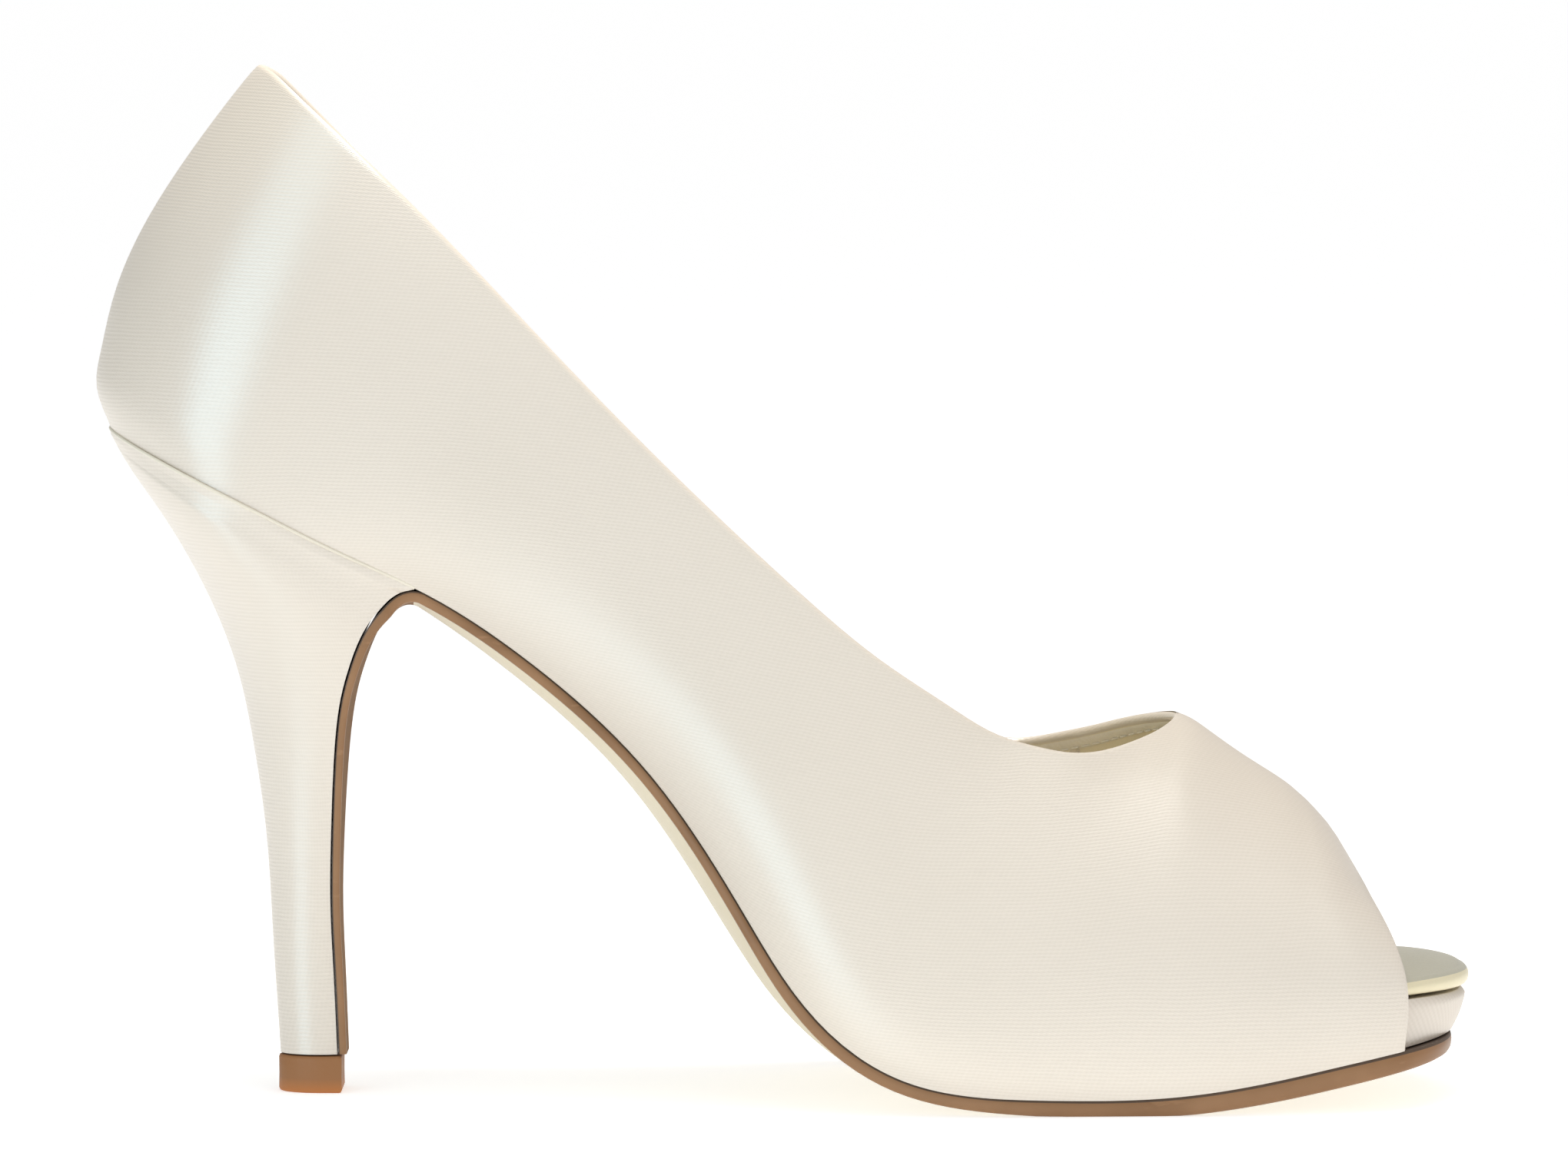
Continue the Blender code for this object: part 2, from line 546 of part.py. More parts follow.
def add_platform(finish):
    """Platform under the forefoot, drawn in towards the sole at the toe."""
    inset = UPPER_WALL + CLEARANCE
    layers = []
    for lift, taper in ((0.0, 1.0), (0.35, 0.4), (0.75, 0.0), (1.0, 0.2)):
        nose = inset + PLATFORM_RECESS + taper * PLATFORM_TAPER
        places = bed_stations(PLATFORM_SHARE * BED_LENGTH, None, 14, inset, nose)
        layers.append([sole_row(arc, CLEARANCE + lift * STACK["platform"](arc / BED_LENGTH), inset, nose)
                       for arc in places])
    return add_stack("platform", layers, finish)


def bend():
    """Centre of the tight bend where the sole turns down the heel, and the angles it spans."""
    foot, up, _ = frame(BEND_START_SHARE * BED_LENGTH)
    radius = BEND_RADIUS + WAIST_THICKNESS
    centre = foot - up * radius
    start = math.degrees(math.atan2(up[2], up[0]))
    return centre, radius, start


def flap_path():
    """Rear face of the flap round the bend: points, directions towards the heel, and dish left."""
    centre, radius, start = bend()
    dish = SOLE_LINE["dish_in"](BEND_START_SHARE)
    path = []
    for k, angle in enumerate(np.linspace(start, BEND_END_ANGLE, BEND_STEPS + 1)[1:]):
        away = np.array([math.cos(math.radians(angle)), 0.0, math.sin(math.radians(angle))])
        path.append((centre + radius * away, away, dish * (1 - (k + 1) / BEND_STEPS)))
    return path


def breast_point(down):
    """Rear face of the flap at a share of the way down the heel."""
    top = flap_path()[-1][0]
    low = TOP_PIECE_HEIGHT + CLEARANCE
    return np.array([top[0] + BREAST["reach"](down) - BREAST_REACH, 0.0, top[2] + (low - top[2]) * down])


def breast_normal(down):
    """Unit direction from the flap towards the heel, level at the heel's foot."""
    if down == 1.0:
        return np.array([-1.0, 0.0, 0.0])
    ahead = breast_point(min(1.0, down + SLOPE_SHARE)) - breast_point(max(0.0, down - SLOPE_SHARE))
    normal = np.array([ahead[2], 0.0, -ahead[0]])
    return normal / np.linalg.norm(normal)


def heel_front_half(down):
    return HEEL["half"](down) * HEEL["front"](down)


def add_outsole(finish):
    """Sole from toe to heel breast, bent at the heel's top and carried down its front face."""
    top_rows, low_rows = [], []
    start = BEND_START_SHARE * BED_LENGTH
    for arc in bed_stations(start, None, 34, SOLE_INSET, SOLE_NOSE_INSET)[::-1]:
        top_rows.append(sole_row(arc, 0.0, SOLE_INSET, SOLE_NOSE_INSET, SOLE_NOSE_POWER))
    inset, nose_inset = SOLE_INSET + EDGE_BEVEL, SOLE_NOSE_INSET + SOLE_NOSE_BEVEL
    for arc in bed_stations(start, None, 34, inset, nose_inset)[::-1]:
        thick = STACK["outsole"](arc / BED_LENGTH)
        low_rows.append(sole_row(arc, -thick, inset, nose_inset, SOLE_NOSE_POWER))
    for row in low_rows:
        for point in row:
            point[2] = max(point[2], 0.0)
    edge_half = abs(top_rows[-1][0][1])
    for k, (place, away, dish) in enumerate(flap_path()):
        share = (k + 1) / BEND_STEPS
        half = (1 - share) * edge_half + share * heel_front_half(0.0)
        top_rows.append(flap_row(place, away, half, dish))
        low_rows.append(flap_row(place - away * WAIST_THICKNESS, away, half - EDGE_BEVEL, dish))
    for down in DOWN_STEPS:
        place, away = breast_point(down), breast_normal(down)
        half = heel_front_half(down)
        top_rows.append(flap_row(place, away, half, 0.0))
        low_rows.append(flap_row(place - away * BREAST["thick"](down), away, half - 0.5 * EDGE_BEVEL, 0.0))
    return add_stack("outsole", [low_rows, top_rows], finish)


def flap_row(place, away, half, dish):
    """Row across the flap, its inner side lifted by what is left of the waist's dish."""
    rows = []
    for share in ACROSS:
        lift = dish * share ** 2 if share < 0 else 0.0
        rows.append(place + away * lift + np.array([0.0, share * half, 0.0]))
    return rows


def breast_foot():
    """Forward end of the flap's front face, at the heel's foot."""
    return breast_point(1.0)[0] + FLAP_THICKNESS


def heel_layer(down, place, away, dish):
    """One section of the heel, from the back to a place on the sole's bend or flap."""
    back_top = frame(0.0)[0] + np.array([-HEEL_LIP, 0.0, -CLEARANCE])
    low = TOP_PIECE_HEIGHT + CLEARANCE
    tip_back = breast_foot() - TIP_LENGTH
    overhang = tip_back - back_top[0]
    back = np.array([tip_back - HEEL["back"](down) * overhang, 0.0, back_top[2] + (low - back_top[2]) * down])
    front = place + away * CLEARANCE
    round_share = HEEL["round"](down)
    rows = []
    for share in heel_shares(round_share):
        middle = back + (front - back) * share
        half = HEEL["half"](down)
        if share < round_share:
            half *= math.sqrt(max(0.0, 1 - (1 - share / round_share) ** 2))
        else:
            half *= 1 + (HEEL["front"](down) - 1) * ((share - round_share) / (1 - round_share)) ** 2
        rows.append(flap_row(middle, away, half, dish * share ** 4))
    return rows


def heel_layers():
    """Sections from the foot up to the bend, whose last ones follow the sole round it."""
    layers = [heel_layer(down, breast_point(down), breast_normal(down), 0.0) for down in DOWN_STEPS[::-1]]
    shown = flap_path()[BEND_HIDDEN:]
    for k, (place, away, dish) in reversed(list(enumerate(shown))):
        layers.append(heel_layer(DOWN_STEPS[0] * (k + 1) / (len(shown) + 1), place, away, dish))
    return layers


def heel_shares(round_share):
    back = [round_share * (1 - math.cos(math.radians(90) * k / 8)) for k in range(9)]
    return back + spaced(round_share, 1.0, 4)


def heel_seat():
    """Top of the heel, on the bed line under the upper."""
    end = SEAT_END_SHARE * BED_LENGTH
    rows = []
    for share in heel_shares(SEAT_ROUND / end):
        arc = share * end
        lip = HEEL_LIP * (1 - share)
        spread = np.array([1.0, 1.0 + 2 * lip / SEAT_WIDTH, 1.0])
        rows.append([point * spread - frame(arc)[2] * lip for point in sole_row(arc, 0.0)])
    return rows


def add_heel(finish):
    return add_stack("heel", heel_layers() + [heel_seat()], finish)


def add_top_piece(finish):
    """Flat lift under the heel, a little wider than the heel's end but set back at the front."""
    front = breast_foot() - TOP_PIECE_SETBACK
    back = breast_foot() - TIP_LENGTH - TOP_PIECE_EDGE
    half = 0.5 * TIP_WIDTH + TOP_PIECE_EDGE
    layers = []
    levels = ((0.0, TOP_PIECE_PULL), (TOP_PIECE_BEVEL, 0.0), (TOP_PIECE_HEIGHT - TOP_PIECE_BEVEL, 0.0),
              (TOP_PIECE_HEIGHT, TOP_PIECE_PULL))
    for height, pull in levels:
        rows = []
        for share in heel_shares(HEEL["round"](1.0)):
            x = back + pull + (front - back - 2 * pull) * share
            width = half - pull
            if share < HEEL["round"](1.0):
                width *= math.sqrt(max(0.0, 1 - (1 - share / HEEL["round"](1.0)) ** 2))
            rows.append([np.array([x, across * width, height]) for across in ACROSS])
        layers.append(rows)
    return add_stack("top_piece", layers, finish)


def main():
    for old in list(bpy.data.objects):
        bpy.data.objects.remove(old)
    satin = material("ivory_satin", (0.78, 0.74, 0.66), 0.35)
    leather = material("pewter_leather", (0.42, 0.41, 0.35), 0.40)
    sole = material("sole_leather", (0.62, 0.48, 0.32), 0.50)
    rubber = material("tan_rubber", (0.38, 0.18, 0.07), 0.55)
    add_upper(satin)
    add_insole(leather)
    add_platform(satin)
    add_outsole(sole)
    add_heel(satin)
    add_top_piece(rubber)


main()
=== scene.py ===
"""Looks of the peep toe pump, left shoe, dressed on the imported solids.

Metres, +Z up. +X points to the toe, -Y is the inner side of the foot, and the floor is at Z = 0.
The sections are the solids' own, closer together, with a smoother ridge over the toes, a softer fade
of the sole's dish round its bend, and the collar's apex a little lower.
"""
from math import asin, atan2, cos, degrees, hypot, pi, radians, sin, sqrt

import bmesh
import bpy
import numpy as np
from mathutils import Matrix, Vector, kdtree
from mathutils.bvhtree import BVHTree


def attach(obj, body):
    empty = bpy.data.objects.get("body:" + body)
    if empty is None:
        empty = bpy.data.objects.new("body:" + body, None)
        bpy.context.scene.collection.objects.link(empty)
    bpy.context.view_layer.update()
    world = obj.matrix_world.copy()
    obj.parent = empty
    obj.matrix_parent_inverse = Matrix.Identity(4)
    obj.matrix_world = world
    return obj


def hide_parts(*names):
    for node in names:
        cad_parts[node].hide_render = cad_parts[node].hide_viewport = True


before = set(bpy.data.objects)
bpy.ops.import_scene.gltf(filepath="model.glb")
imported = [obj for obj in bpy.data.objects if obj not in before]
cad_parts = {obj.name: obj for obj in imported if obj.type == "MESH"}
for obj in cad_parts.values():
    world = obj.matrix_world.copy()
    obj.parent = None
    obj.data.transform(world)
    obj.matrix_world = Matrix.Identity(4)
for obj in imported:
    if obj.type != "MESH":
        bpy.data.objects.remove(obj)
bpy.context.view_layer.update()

# Overall sizes
LENGTH = 0.2300
HEEL_HEIGHT = 0.1113
BALL_WIDTH = 0.0795
SEAT_WIDTH = 0.0510
WAIST_WIDTH = 0.0340
TOE_SPRING = 0.0089
TOE_SWING = 0.0030

# Upper
UPPER_WALL = 0.0016
BACK_HEIGHT = 0.0671
SIDE_HEIGHT = 0.0417
INSTEP_HEIGHT = 0.0629
OUTER_DROP = 0.0045
BACK_BULGE = 0.0090
BACK_FADE = 0.0600
PEEP_HEIGHT = 0.0271
PEEP_BOW = 0.0029
PEEP_FADE = 0.0200
SEAT_ROUND = 0.0260
NOSE_ROUND = 0.0222
THROAT_ROUND = 0.0440

# Sole, platform and insole
SOLE_THICKNESS = 0.0029
WAIST_THICKNESS = 0.0019
FLAP_THICKNESS = 0.0013
TREAD_FLAT = 0.0003
SOLE_INSET = 0.0005
SOLE_NOSE_INSET = 0.0055
SOLE_NOSE_BEVEL = 0.0012
SOLE_NOSE_POWER = 2.6
EDGE_BEVEL = 0.0006
BEND_RADIUS = 0.0032
WAIST_DISH = 0.0034
INSOLE_DEPTH = 0.0030
INSOLE_CROWN = 0.0034
PLATFORM_HEIGHT = 0.0095
PLATFORM_TAPER = 0.0024
PLATFORM_RECESS = 0.0008

# Heel and top piece
HEEL_LIP = 0.0005
TIP_LENGTH = 0.0113
TIP_WIDTH = 0.0100
BREAST_REACH = 0.0081
TOP_PIECE_HEIGHT = 0.0062
TOP_PIECE_EDGE = 0.0003
TOP_PIECE_SETBACK = 0.0008

# Edges and joints
CLEARANCE = 0.0003
WELD = 1e-6

# Places along the bed line, as shares of its length, and other shares
SEAT_END_SHARE = 0.2115
BEND_START_SHARE = 0.220
EASE_START_SHARE = 0.41
EASE_END_SHARE = 0.45
PLATFORM_SHARE = 0.46
SWING_START_SHARE = 0.60
THROAT_SHARE = 0.7715
PEEP_SHARE = 0.953
SLOPE_SHARE = 0.004

# Angles in degrees
BEND_END_ANGLE = 138.0

# Counts of steps
ACROSS_STEPS = 14
ROUND_STEPS = 18
NOSE_STEPS = 24
HEEL_STEPS = 10
BEND_STEPS = 21
BEND_HIDDEN = 8
INSOLE_STEPS = 60
PLATFORM_STEPS = 40
SOLE_STEPS = 80
BACK_STEPS = 22
SIDE_STEPS = 46
THROAT_STEPS = 30
THROAT_COLUMN = BACK_STEPS + SIDE_STEPS + THROAT_STEPS
FRONT_STEPS = 34
LOW_STEPS = 12
HIGH_STEPS = 30
TRY_STEPS = 60

QUARTER = radians(90)
ACROSS = tuple(sin(radians(90 * k / ACROSS_STEPS)) for k in range(-ACROSS_STEPS, ACROSS_STEPS + 1))


def spline(knots, values):
    """Natural cubic spline through the knots, as a function of one number."""
    knots, values = np.asarray(knots, float), np.asarray(values, float)
    count = len(knots)
    step = np.diff(knots)
    matrix = np.eye(count)
    right = np.zeros(count)
    for i in range(1, count - 1):
        matrix[i, i - 1:i + 2] = step[i - 1], 2 * (step[i - 1] + step[i]), step[i]
        right[i] = 6 * ((values[i + 1] - values[i]) / step[i] - (values[i] - values[i - 1]) / step[i - 1])
    bend = np.linalg.solve(matrix, right)

    def at(x):
        x = min(max(x, knots[0]), knots[-1])
        i = min(max(int(np.searchsorted(knots, x)) - 1, 0), count - 2)
        before, after = x - knots[i], knots[i + 1] - x
        cubic = (bend[i] * after ** 3 + bend[i + 1] * before ** 3) / (6 * step[i])
        low = (values[i] / step[i] - bend[i] * step[i] / 6) * after
        high = (values[i + 1] / step[i] - bend[i + 1] * step[i] / 6) * before
        return float(cubic + low + high)

    return at


def columns(names, *groups):
    """Smooth functions of the first column, one for each other. Each group's units stand over its rows."""
    names = names.split()
    data = np.vstack([np.array(rows, float) * units for units, *rows in groups]).T
    return {name: spline(data[0], column) for name, column in zip(names[1:], data[1:])}


# Bed line: shares of the length, of the heel's height and of the toe spring, and lean in degrees
BED_ROWS = [
    # along, heel, spring, lean
    (-0.4883, 1.0000, 0.00, 23.0),
    (-0.3896, 0.8970, 0.00, 27.0),
    (-0.2800, 0.7680, 0.00, 31.5),
    (-0.1922, 0.6360, 0.00, 37.0),
    (-0.1096, 0.4710, 0.00, 41.5),
    (-0.0330, 0.2320, 0.00, 40.0),
    (0.0009, 0.1325, 0.00, 36.5),
    (0.0391, 0.0620, 0.00, 31.5),
    (0.0870, 0.0200, 0.00, 26.0),
    (0.1870, 0.0000, 0.00, 15.0),
    (0.2748, 0.0000, 0.02, 8.0),
    (0.3626, 0.0000, 0.34, 2.0),
    (0.4487, 0.0000, 0.80, -12.5),
    (0.5015, 0.0000, 1.00, -3.0),
]


def bed_line():
    """Arc length of the bed line, and its place and lean as functions of that length."""
    low = SOLE_THICKNESS - TREAD_FLAT
    points = []
    for along, heel, spring, lean in BED_ROWS:
        height = low + heel * (HEEL_HEIGHT - low) + spring * TOE_SPRING
        points.append((along * LENGTH, height, lean))
    points = np.array(points)
    steps = np.hypot(*np.diff(points[:, :2], axis=0).T)
    arc = np.concatenate([[0.0], np.cumsum(steps)])
    return arc[-1], [spline(arc, points[:, k]) for k in range(3)]


BED_LENGTH, (BED_X, BED_Z, BED_LEAN) = bed_line()

# Sole line: half widths of the upper's lower edge, and how far its edges rise over the bed line
SOLE_LINE = columns(
    "at inner outer inner_dish outer_dish",
    ((1, SEAT_WIDTH, SEAT_WIDTH, WAIST_DISH, WAIST_DISH),
     (0.0, 0.5, 0.5, 0.0, 0.0),
     (0.1, 0.5, 0.5, 0.0, 0.0),
     (0.16, 0.455, 0.465, 0.08, 0.0)),
    ((1, WAIST_WIDTH, WAIST_WIDTH, WAIST_DISH, WAIST_DISH),
     (0.22, 0.55, 0.58, 0.52, 0.1),
     (0.29, 0.485, 0.515, 0.74, 0.2),
     (0.39, 0.56, 0.64, 0.88, 0.3)),
    ((1, BALL_WIDTH, BALL_WIDTH, WAIST_DISH, WAIST_DISH),
     (0.5, 0.327, 0.365, 1.0, 0.35),
     (0.55, 0.366, 0.401, 0.86, 0.34),
     (0.6, 0.403, 0.434, 0.57, 0.28),
     (0.64, 0.427, 0.457, 0.22, 0.18),
     (0.69, 0.45, 0.478, 0.05, 0.09),
     (0.77, 0.447, 0.478, 0.05, 0.08),
     (0.84, 0.421, 0.459, 0.09, 0.09),
     (0.92, 0.37, 0.428, 0.09, 0.09),
     (1.0, 0.34, 0.415, 0.09, 0.09)),
)

# Widest place of the upper's sides
SIDE = columns(
    "at inner outer height",
    ((1, SEAT_WIDTH, SEAT_WIDTH, BACK_HEIGHT),
     (0.0, 0.53, 0.53, 0.33),
     (0.1, 0.53, 0.53, 0.33),
     (0.2, 0.52, 0.53, 0.36)),
    ((1, BALL_WIDTH, BALL_WIDTH, SIDE_HEIGHT),
     (0.29, 0.334, 0.358, 0.56),
     (0.39, 0.365, 0.402, 0.5)),
    ((1, BALL_WIDTH, BALL_WIDTH, INSTEP_HEIGHT),
     (0.5, 0.421, 0.459, 0.3),
     (0.6, 0.469, 0.497, 0.24),
     (0.69, 0.484, 0.516, 0.2),
     (0.77, 0.469, 0.503, 0.19),
     (0.84, 0.44, 0.478, 0.18),
     (0.92, 0.39, 0.444, 0.16),
     (1.0, 0.352, 0.428, 0.14)),
)

# Height of the topline, and how much lower it runs on the outer side
TOPLINE = columns(
    "at height drop",
    ((1, BACK_HEIGHT, OUTER_DROP),
     (0.0, 1.0, 0.0),
     (0.096, 0.868, 0.65),
     (0.202, 0.714, 0.9)),
    ((1, SIDE_HEIGHT, OUTER_DROP),
     (0.293, 1.022, 1.0),
     (0.338, 1.0, 1.0),
     (0.389, 1.019, 1.0),
     (0.449, 1.115, 1.0)),
    ((1, INSTEP_HEIGHT, OUTER_DROP),
     (0.506, 0.836, 1.0),
     (0.556, 0.912, 1.04),
     (0.6, 0.962, 0.97),
     (0.644, 0.969, 0.33),
     (0.689, 0.959, -0.11),
     (0.73, 0.962, -0.27),
     (0.757, 0.977, -0.16),
     (THROAT_SHARE, 0.992, 0.0)),
)

# Height of the last's ridge, which the topline cuts off behind the throat
RIDGE = columns(
    "at height",
    ((1, BACK_HEIGHT),
     (0.0, 1.52),
     (0.096, 1.42),
     (0.202, 1.45)),
    ((1, SIDE_HEIGHT),
     (0.293, 2.4),
     (0.389, 2.18),
     (0.449, 1.98)),
    ((1, INSTEP_HEIGHT),
     (0.506, 1.26),
     (0.6, 1.25),
     (0.644, 1.205),
     (0.689, 1.12),
     (0.73, 1.046),
     (0.757, 1.01),
     (THROAT_SHARE, 0.992),
     (0.785, 0.974),
     (0.805, 0.928),
     (0.83, 0.857),
     (0.86, 0.777),
     (0.89, 0.709),
     (0.905, 0.683),
     (0.92, 0.654),
     (0.932, 0.616),
     (0.943, 0.55)),
    ((1, PEEP_HEIGHT),
     (PEEP_SHARE, 1.0)),
)

# How far the back curve stands behind its section plane, by height
BACK_CURVE = columns(
    "height bulge",
    ((BACK_HEIGHT, BACK_BULGE),
     (0.0, 0.0),
     (0.07, 0.53),
     (0.16, 0.77),
     (0.3, 0.95),
     (0.45, 0.98),
     (0.65, 0.78),
     (0.82, 0.5),
     (1.0, 0.17)),
)

# Thickness of platform, outsole and insole along the bed line, and the swell of the insole's middle
STACK = columns(
    "at platform outsole insole crown",
    ((1, PLATFORM_HEIGHT, WAIST_THICKNESS, INSOLE_DEPTH, INSOLE_CROWN),
     (0.0, 0.1, 1.0, 1.0, 0.0),
     (0.22, 0.1, 1.0, 1.0, 0.0),
     (0.35, 0.1, 1.0, 1.0, 0.0),
     (PLATFORM_SHARE, 0.1, 1.0, 1.0, 0.0),
     (0.54, 0.36, 1.1, 1.0, 0.0)),
    ((1, PLATFORM_HEIGHT, SOLE_THICKNESS, INSOLE_DEPTH, INSOLE_CROWN),
     (0.62, 0.78, 0.76, 1.0, 0.0),
     (0.66, 0.91, 0.79, 1.0, 0.02),
     (0.7, 1.0, 0.88, 1.0, 0.05),
     (0.74, 1.02, 1.0, 0.98, 0.15),
     (0.8, 1.0, 1.12, 0.95, 0.35),
     (0.95, 0.85, 1.12, 0.88, 1.0),
     (1.0, 0.66, 0.85, 1.12, 0.9)),
)

# Heel, by share of the way down: back curve, half width, round share of its length, front width
HEEL = columns(
    "down back half round front",
    ((1, 1, SEAT_WIDTH, 1, 1),
     (0.0, 1.0, 0.5, 0.47, 0.76),
     (0.05, 0.894, 0.478, 0.5, 0.78),
     (0.1, 0.766, 0.436, 0.53, 0.81),
     (0.2, 0.535, 0.34, 0.58, 0.86),
     (0.3, 0.355, 0.266, 0.64, 0.88),
     (0.4, 0.23, 0.212, 0.68, 0.89)),
    ((1, 1, TIP_WIDTH, 1, 1),
     (0.5, 0.156, 0.886, 0.7, 0.9),
     (0.65, 0.08, 0.7, 0.7, 0.9),
     (0.8, 0.046, 0.58, 0.7, 0.9),
     (1.0, 0.0, 0.5, 0.7, 0.9)),
)

# Sole's flap on the heel's front, by share of the way down: reach of its rear face, and thickness
BREAST = columns(
    "down reach thick",
    ((1, BREAST_REACH, WAIST_THICKNESS),
     (0.0, 1.0, 1.0),
     (0.02, 0.84, 0.94),
     (0.06, 0.605, 0.84)),
    ((1, BREAST_REACH, FLAP_THICKNESS),
     (0.128, 0.35, 1.08),
     (0.195, 0.17, 1.02),
     (0.264, 0.06, 1.0),
     (0.365, -0.025, 1.0),
     (0.534, -0.1, 1.0),
     (0.67, -0.12, 1.0),
     (0.81, -0.07, 1.0),
     (1.0, 0.0, 1.0)),
)

# Places of the heel's rows down to its foot, three steps to each
DOWN_ROWS = (0.02, 0.05, 0.09, 0.13, 0.18, 0.24, 0.30, 0.37, 0.45, 0.54, 0.64, 0.76, 0.88, 1.0)
DOWN_STEPS = tuple(np.interp(np.arange(40) / 3, range(14), DOWN_ROWS))


def swing(arc):
    """Sideways shift of the section towards the inner side, near the toe."""
    return -TOE_SWING * (max(0.0, arc / BED_LENGTH - SWING_START_SHARE) / (1 - SWING_START_SHARE)) ** 2


def centre_shift():
    """Sideways place of the shoe that keeps the origin under the middle of its width."""
    places = [k / 200 for k in range(201)]
    outer = max(SIDE["outer"](at) + swing(at * BED_LENGTH) for at in places)
    inner = max(SIDE["inner"](at) - swing(at * BED_LENGTH) for at in places)
    return 0.5 * (inner - outer)


def section(arc):
    """Foot of the section plane on the bed line, and its unit up and forward directions."""
    lean = radians(BED_LEAN(arc))
    up = np.array([sin(lean), 0.0, cos(lean)])
    forward = np.array([cos(lean), 0.0, -sin(lean)])
    return np.array([BED_X(arc), swing(arc), BED_Z(arc)]), up, forward


def rounding(arc, inset=0.0, nose_inset=None, power=2.0):
    """Share of the full width left by the round back of the seat and the round toe."""
    nose_inset = inset if nose_inset is None else nose_inset
    share = 1.0
    if arc < SEAT_ROUND:
        share *= sqrt(max(0.0, 1 - ((SEAT_ROUND - arc) / (SEAT_ROUND - inset)) ** 2))
    nose_start = BED_LENGTH - NOSE_ROUND
    if arc > nose_start:
        reach = NOSE_ROUND + UPPER_WALL + CLEARANCE - nose_inset
        share *= max(0.0, 1 - ((arc - nose_start) / reach) ** power) ** (1 / power)
    return share


def sole_point(arc, share, height, inset=0.0, nose_inset=None, power=2.0):
    """Point over the bed, at a share of the half width: -1 is the inner edge, +1 the outer."""
    at = arc / BED_LENGTH
    side = "inner" if share < 0 else "outer"
    round_off = rounding(arc, inset, nose_inset, power)
    dish = SOLE_LINE[side + "_dish"](at) * (share * round_off) ** 2
    half = (SOLE_LINE[side](at) - inset) * round_off
    foot, up, _ = section(arc)
    return foot + up * (height + dish) + np.array([0.0, share * half, 0.0])


def sole_row(arc, height, inset=0.0, nose_inset=None, power=2.0):
    return [sole_point(arc, share, height, inset, nose_inset, power) for share in ACROSS]


def bezier(a, b, c, d, t):
    return (1 - t) ** 3 * a + 3 * (1 - t) ** 2 * t * b + 3 * (1 - t) * t ** 2 * c + t ** 3 * d


def topline_share(arc, side):
    """How far up to the ridge the wall reaches: 1 in front of the throat."""
    at = arc / BED_LENGTH
    if at >= THROAT_SHARE:
        return 1.0
    drop = TOPLINE["drop"](at) if side == "outer" else 0.0
    low = SIDE["height"](at)
    return min(1.0, (TOPLINE["height"](at) - drop - low) / (RIDGE["height"](at) - low))


def upper_point(arc, side, level):
    """Point of the upper's outer face. Level 0 is the sole line, 1 the widest place, 2 the top."""
    at = arc / BED_LENGTH
    round_off = rounding(arc)
    wide = SIDE[side](at) * round_off
    wide_height = SIDE["height"](at)
    if level <= 1:
        dish = SOLE_LINE[side + "_dish"](at) * round_off ** 2
        start = np.array([SOLE_LINE[side](at) * round_off, CLEARANCE + dish])
        end = np.array([wide, wide_height])
        out, rise = end - start
        half, height = bezier(start, start + [0.6 * out, 0.2 * rise], end - [0, 0.5 * rise], end, level)
    else:
        turn = (level - 1) * asin(topline_share(arc, side))
        half = wide * cos(turn)
        height = wide_height + (RIDGE["height"](at) - wide_height) * sin(turn)
    behind = max(0.0, 1 - arc / BACK_FADE) ** 2
    ahead = max(0.0, 1 - (PEEP_SHARE * BED_LENGTH - arc) / PEEP_FADE) ** 2
    shift = PEEP_BOW * sin(pi * min(1.0, height / PEEP_HEIGHT)) * ahead
    shift -= BACK_CURVE["bulge"](height) * behind
    foot, up, forward = section(arc)
    sign = -1 if side == "inner" else 1
    return foot + up * height + forward * shift + np.array([0.0, sign * half, 0.0])


def spaced(start, end, count):
    return list(np.linspace(start, end, count + 1)[1:])


def eased(count):
    """Shares from 0 to 1 along a quarter round, closest together at its start."""
    return [1 - cos(QUARTER * k / count) for k in range(count + 1)]


def bed_stations(start, count, inset, nose_inset=None):
    """Places along the bed up to the tip, closer together round the back and the toe."""
    nose_inset = inset if nose_inset is None else nose_inset
    places = [start]
    if start < inset + WELD:
        places = [inset + (SEAT_ROUND - inset) * share for share in eased(ROUND_STEPS)]
    tip = BED_LENGTH + UPPER_WALL + CLEARANCE - nose_inset
    reach = tip - (BED_LENGTH - NOSE_ROUND)
    places += spaced(places[-1], tip - reach, count)
    nose = [tip - reach + reach * sin(QUARTER * k / NOSE_STEPS) for k in range(1, NOSE_STEPS + 1)]
    return places + nose


def insole_height(arc):
    """Underside of the insole: on the sole at the back, on the platform in front."""
    platform = STACK["platform"](arc / BED_LENGTH)
    start = STACK["platform"](PLATFORM_SHARE)
    return CLEARANCE + max(0.0, platform - start) + (2 * CLEARANCE + start) * ease(arc)


def ease(arc):
    """0 behind the platform and 1 over it, with a soft start."""
    share = (arc / BED_LENGTH - EASE_START_SHARE) / (EASE_END_SHARE - EASE_START_SHARE)
    share = min(max(share, 0.0), 1.0)
    return share * share * (3 - 2 * share)


def insole_row(arc, lift, inset):
    """One row of the insole at a share of its thickness, its middle swelling upwards."""
    at = arc / BED_LENGTH
    height = insole_height(arc) + lift * STACK["insole"](at)
    swell = max(0.0, lift) * STACK["crown"](at) * rounding(arc, inset)
    return [sole_point(arc, share, height + swell * (1 - share * share), inset) for share in ACROSS]


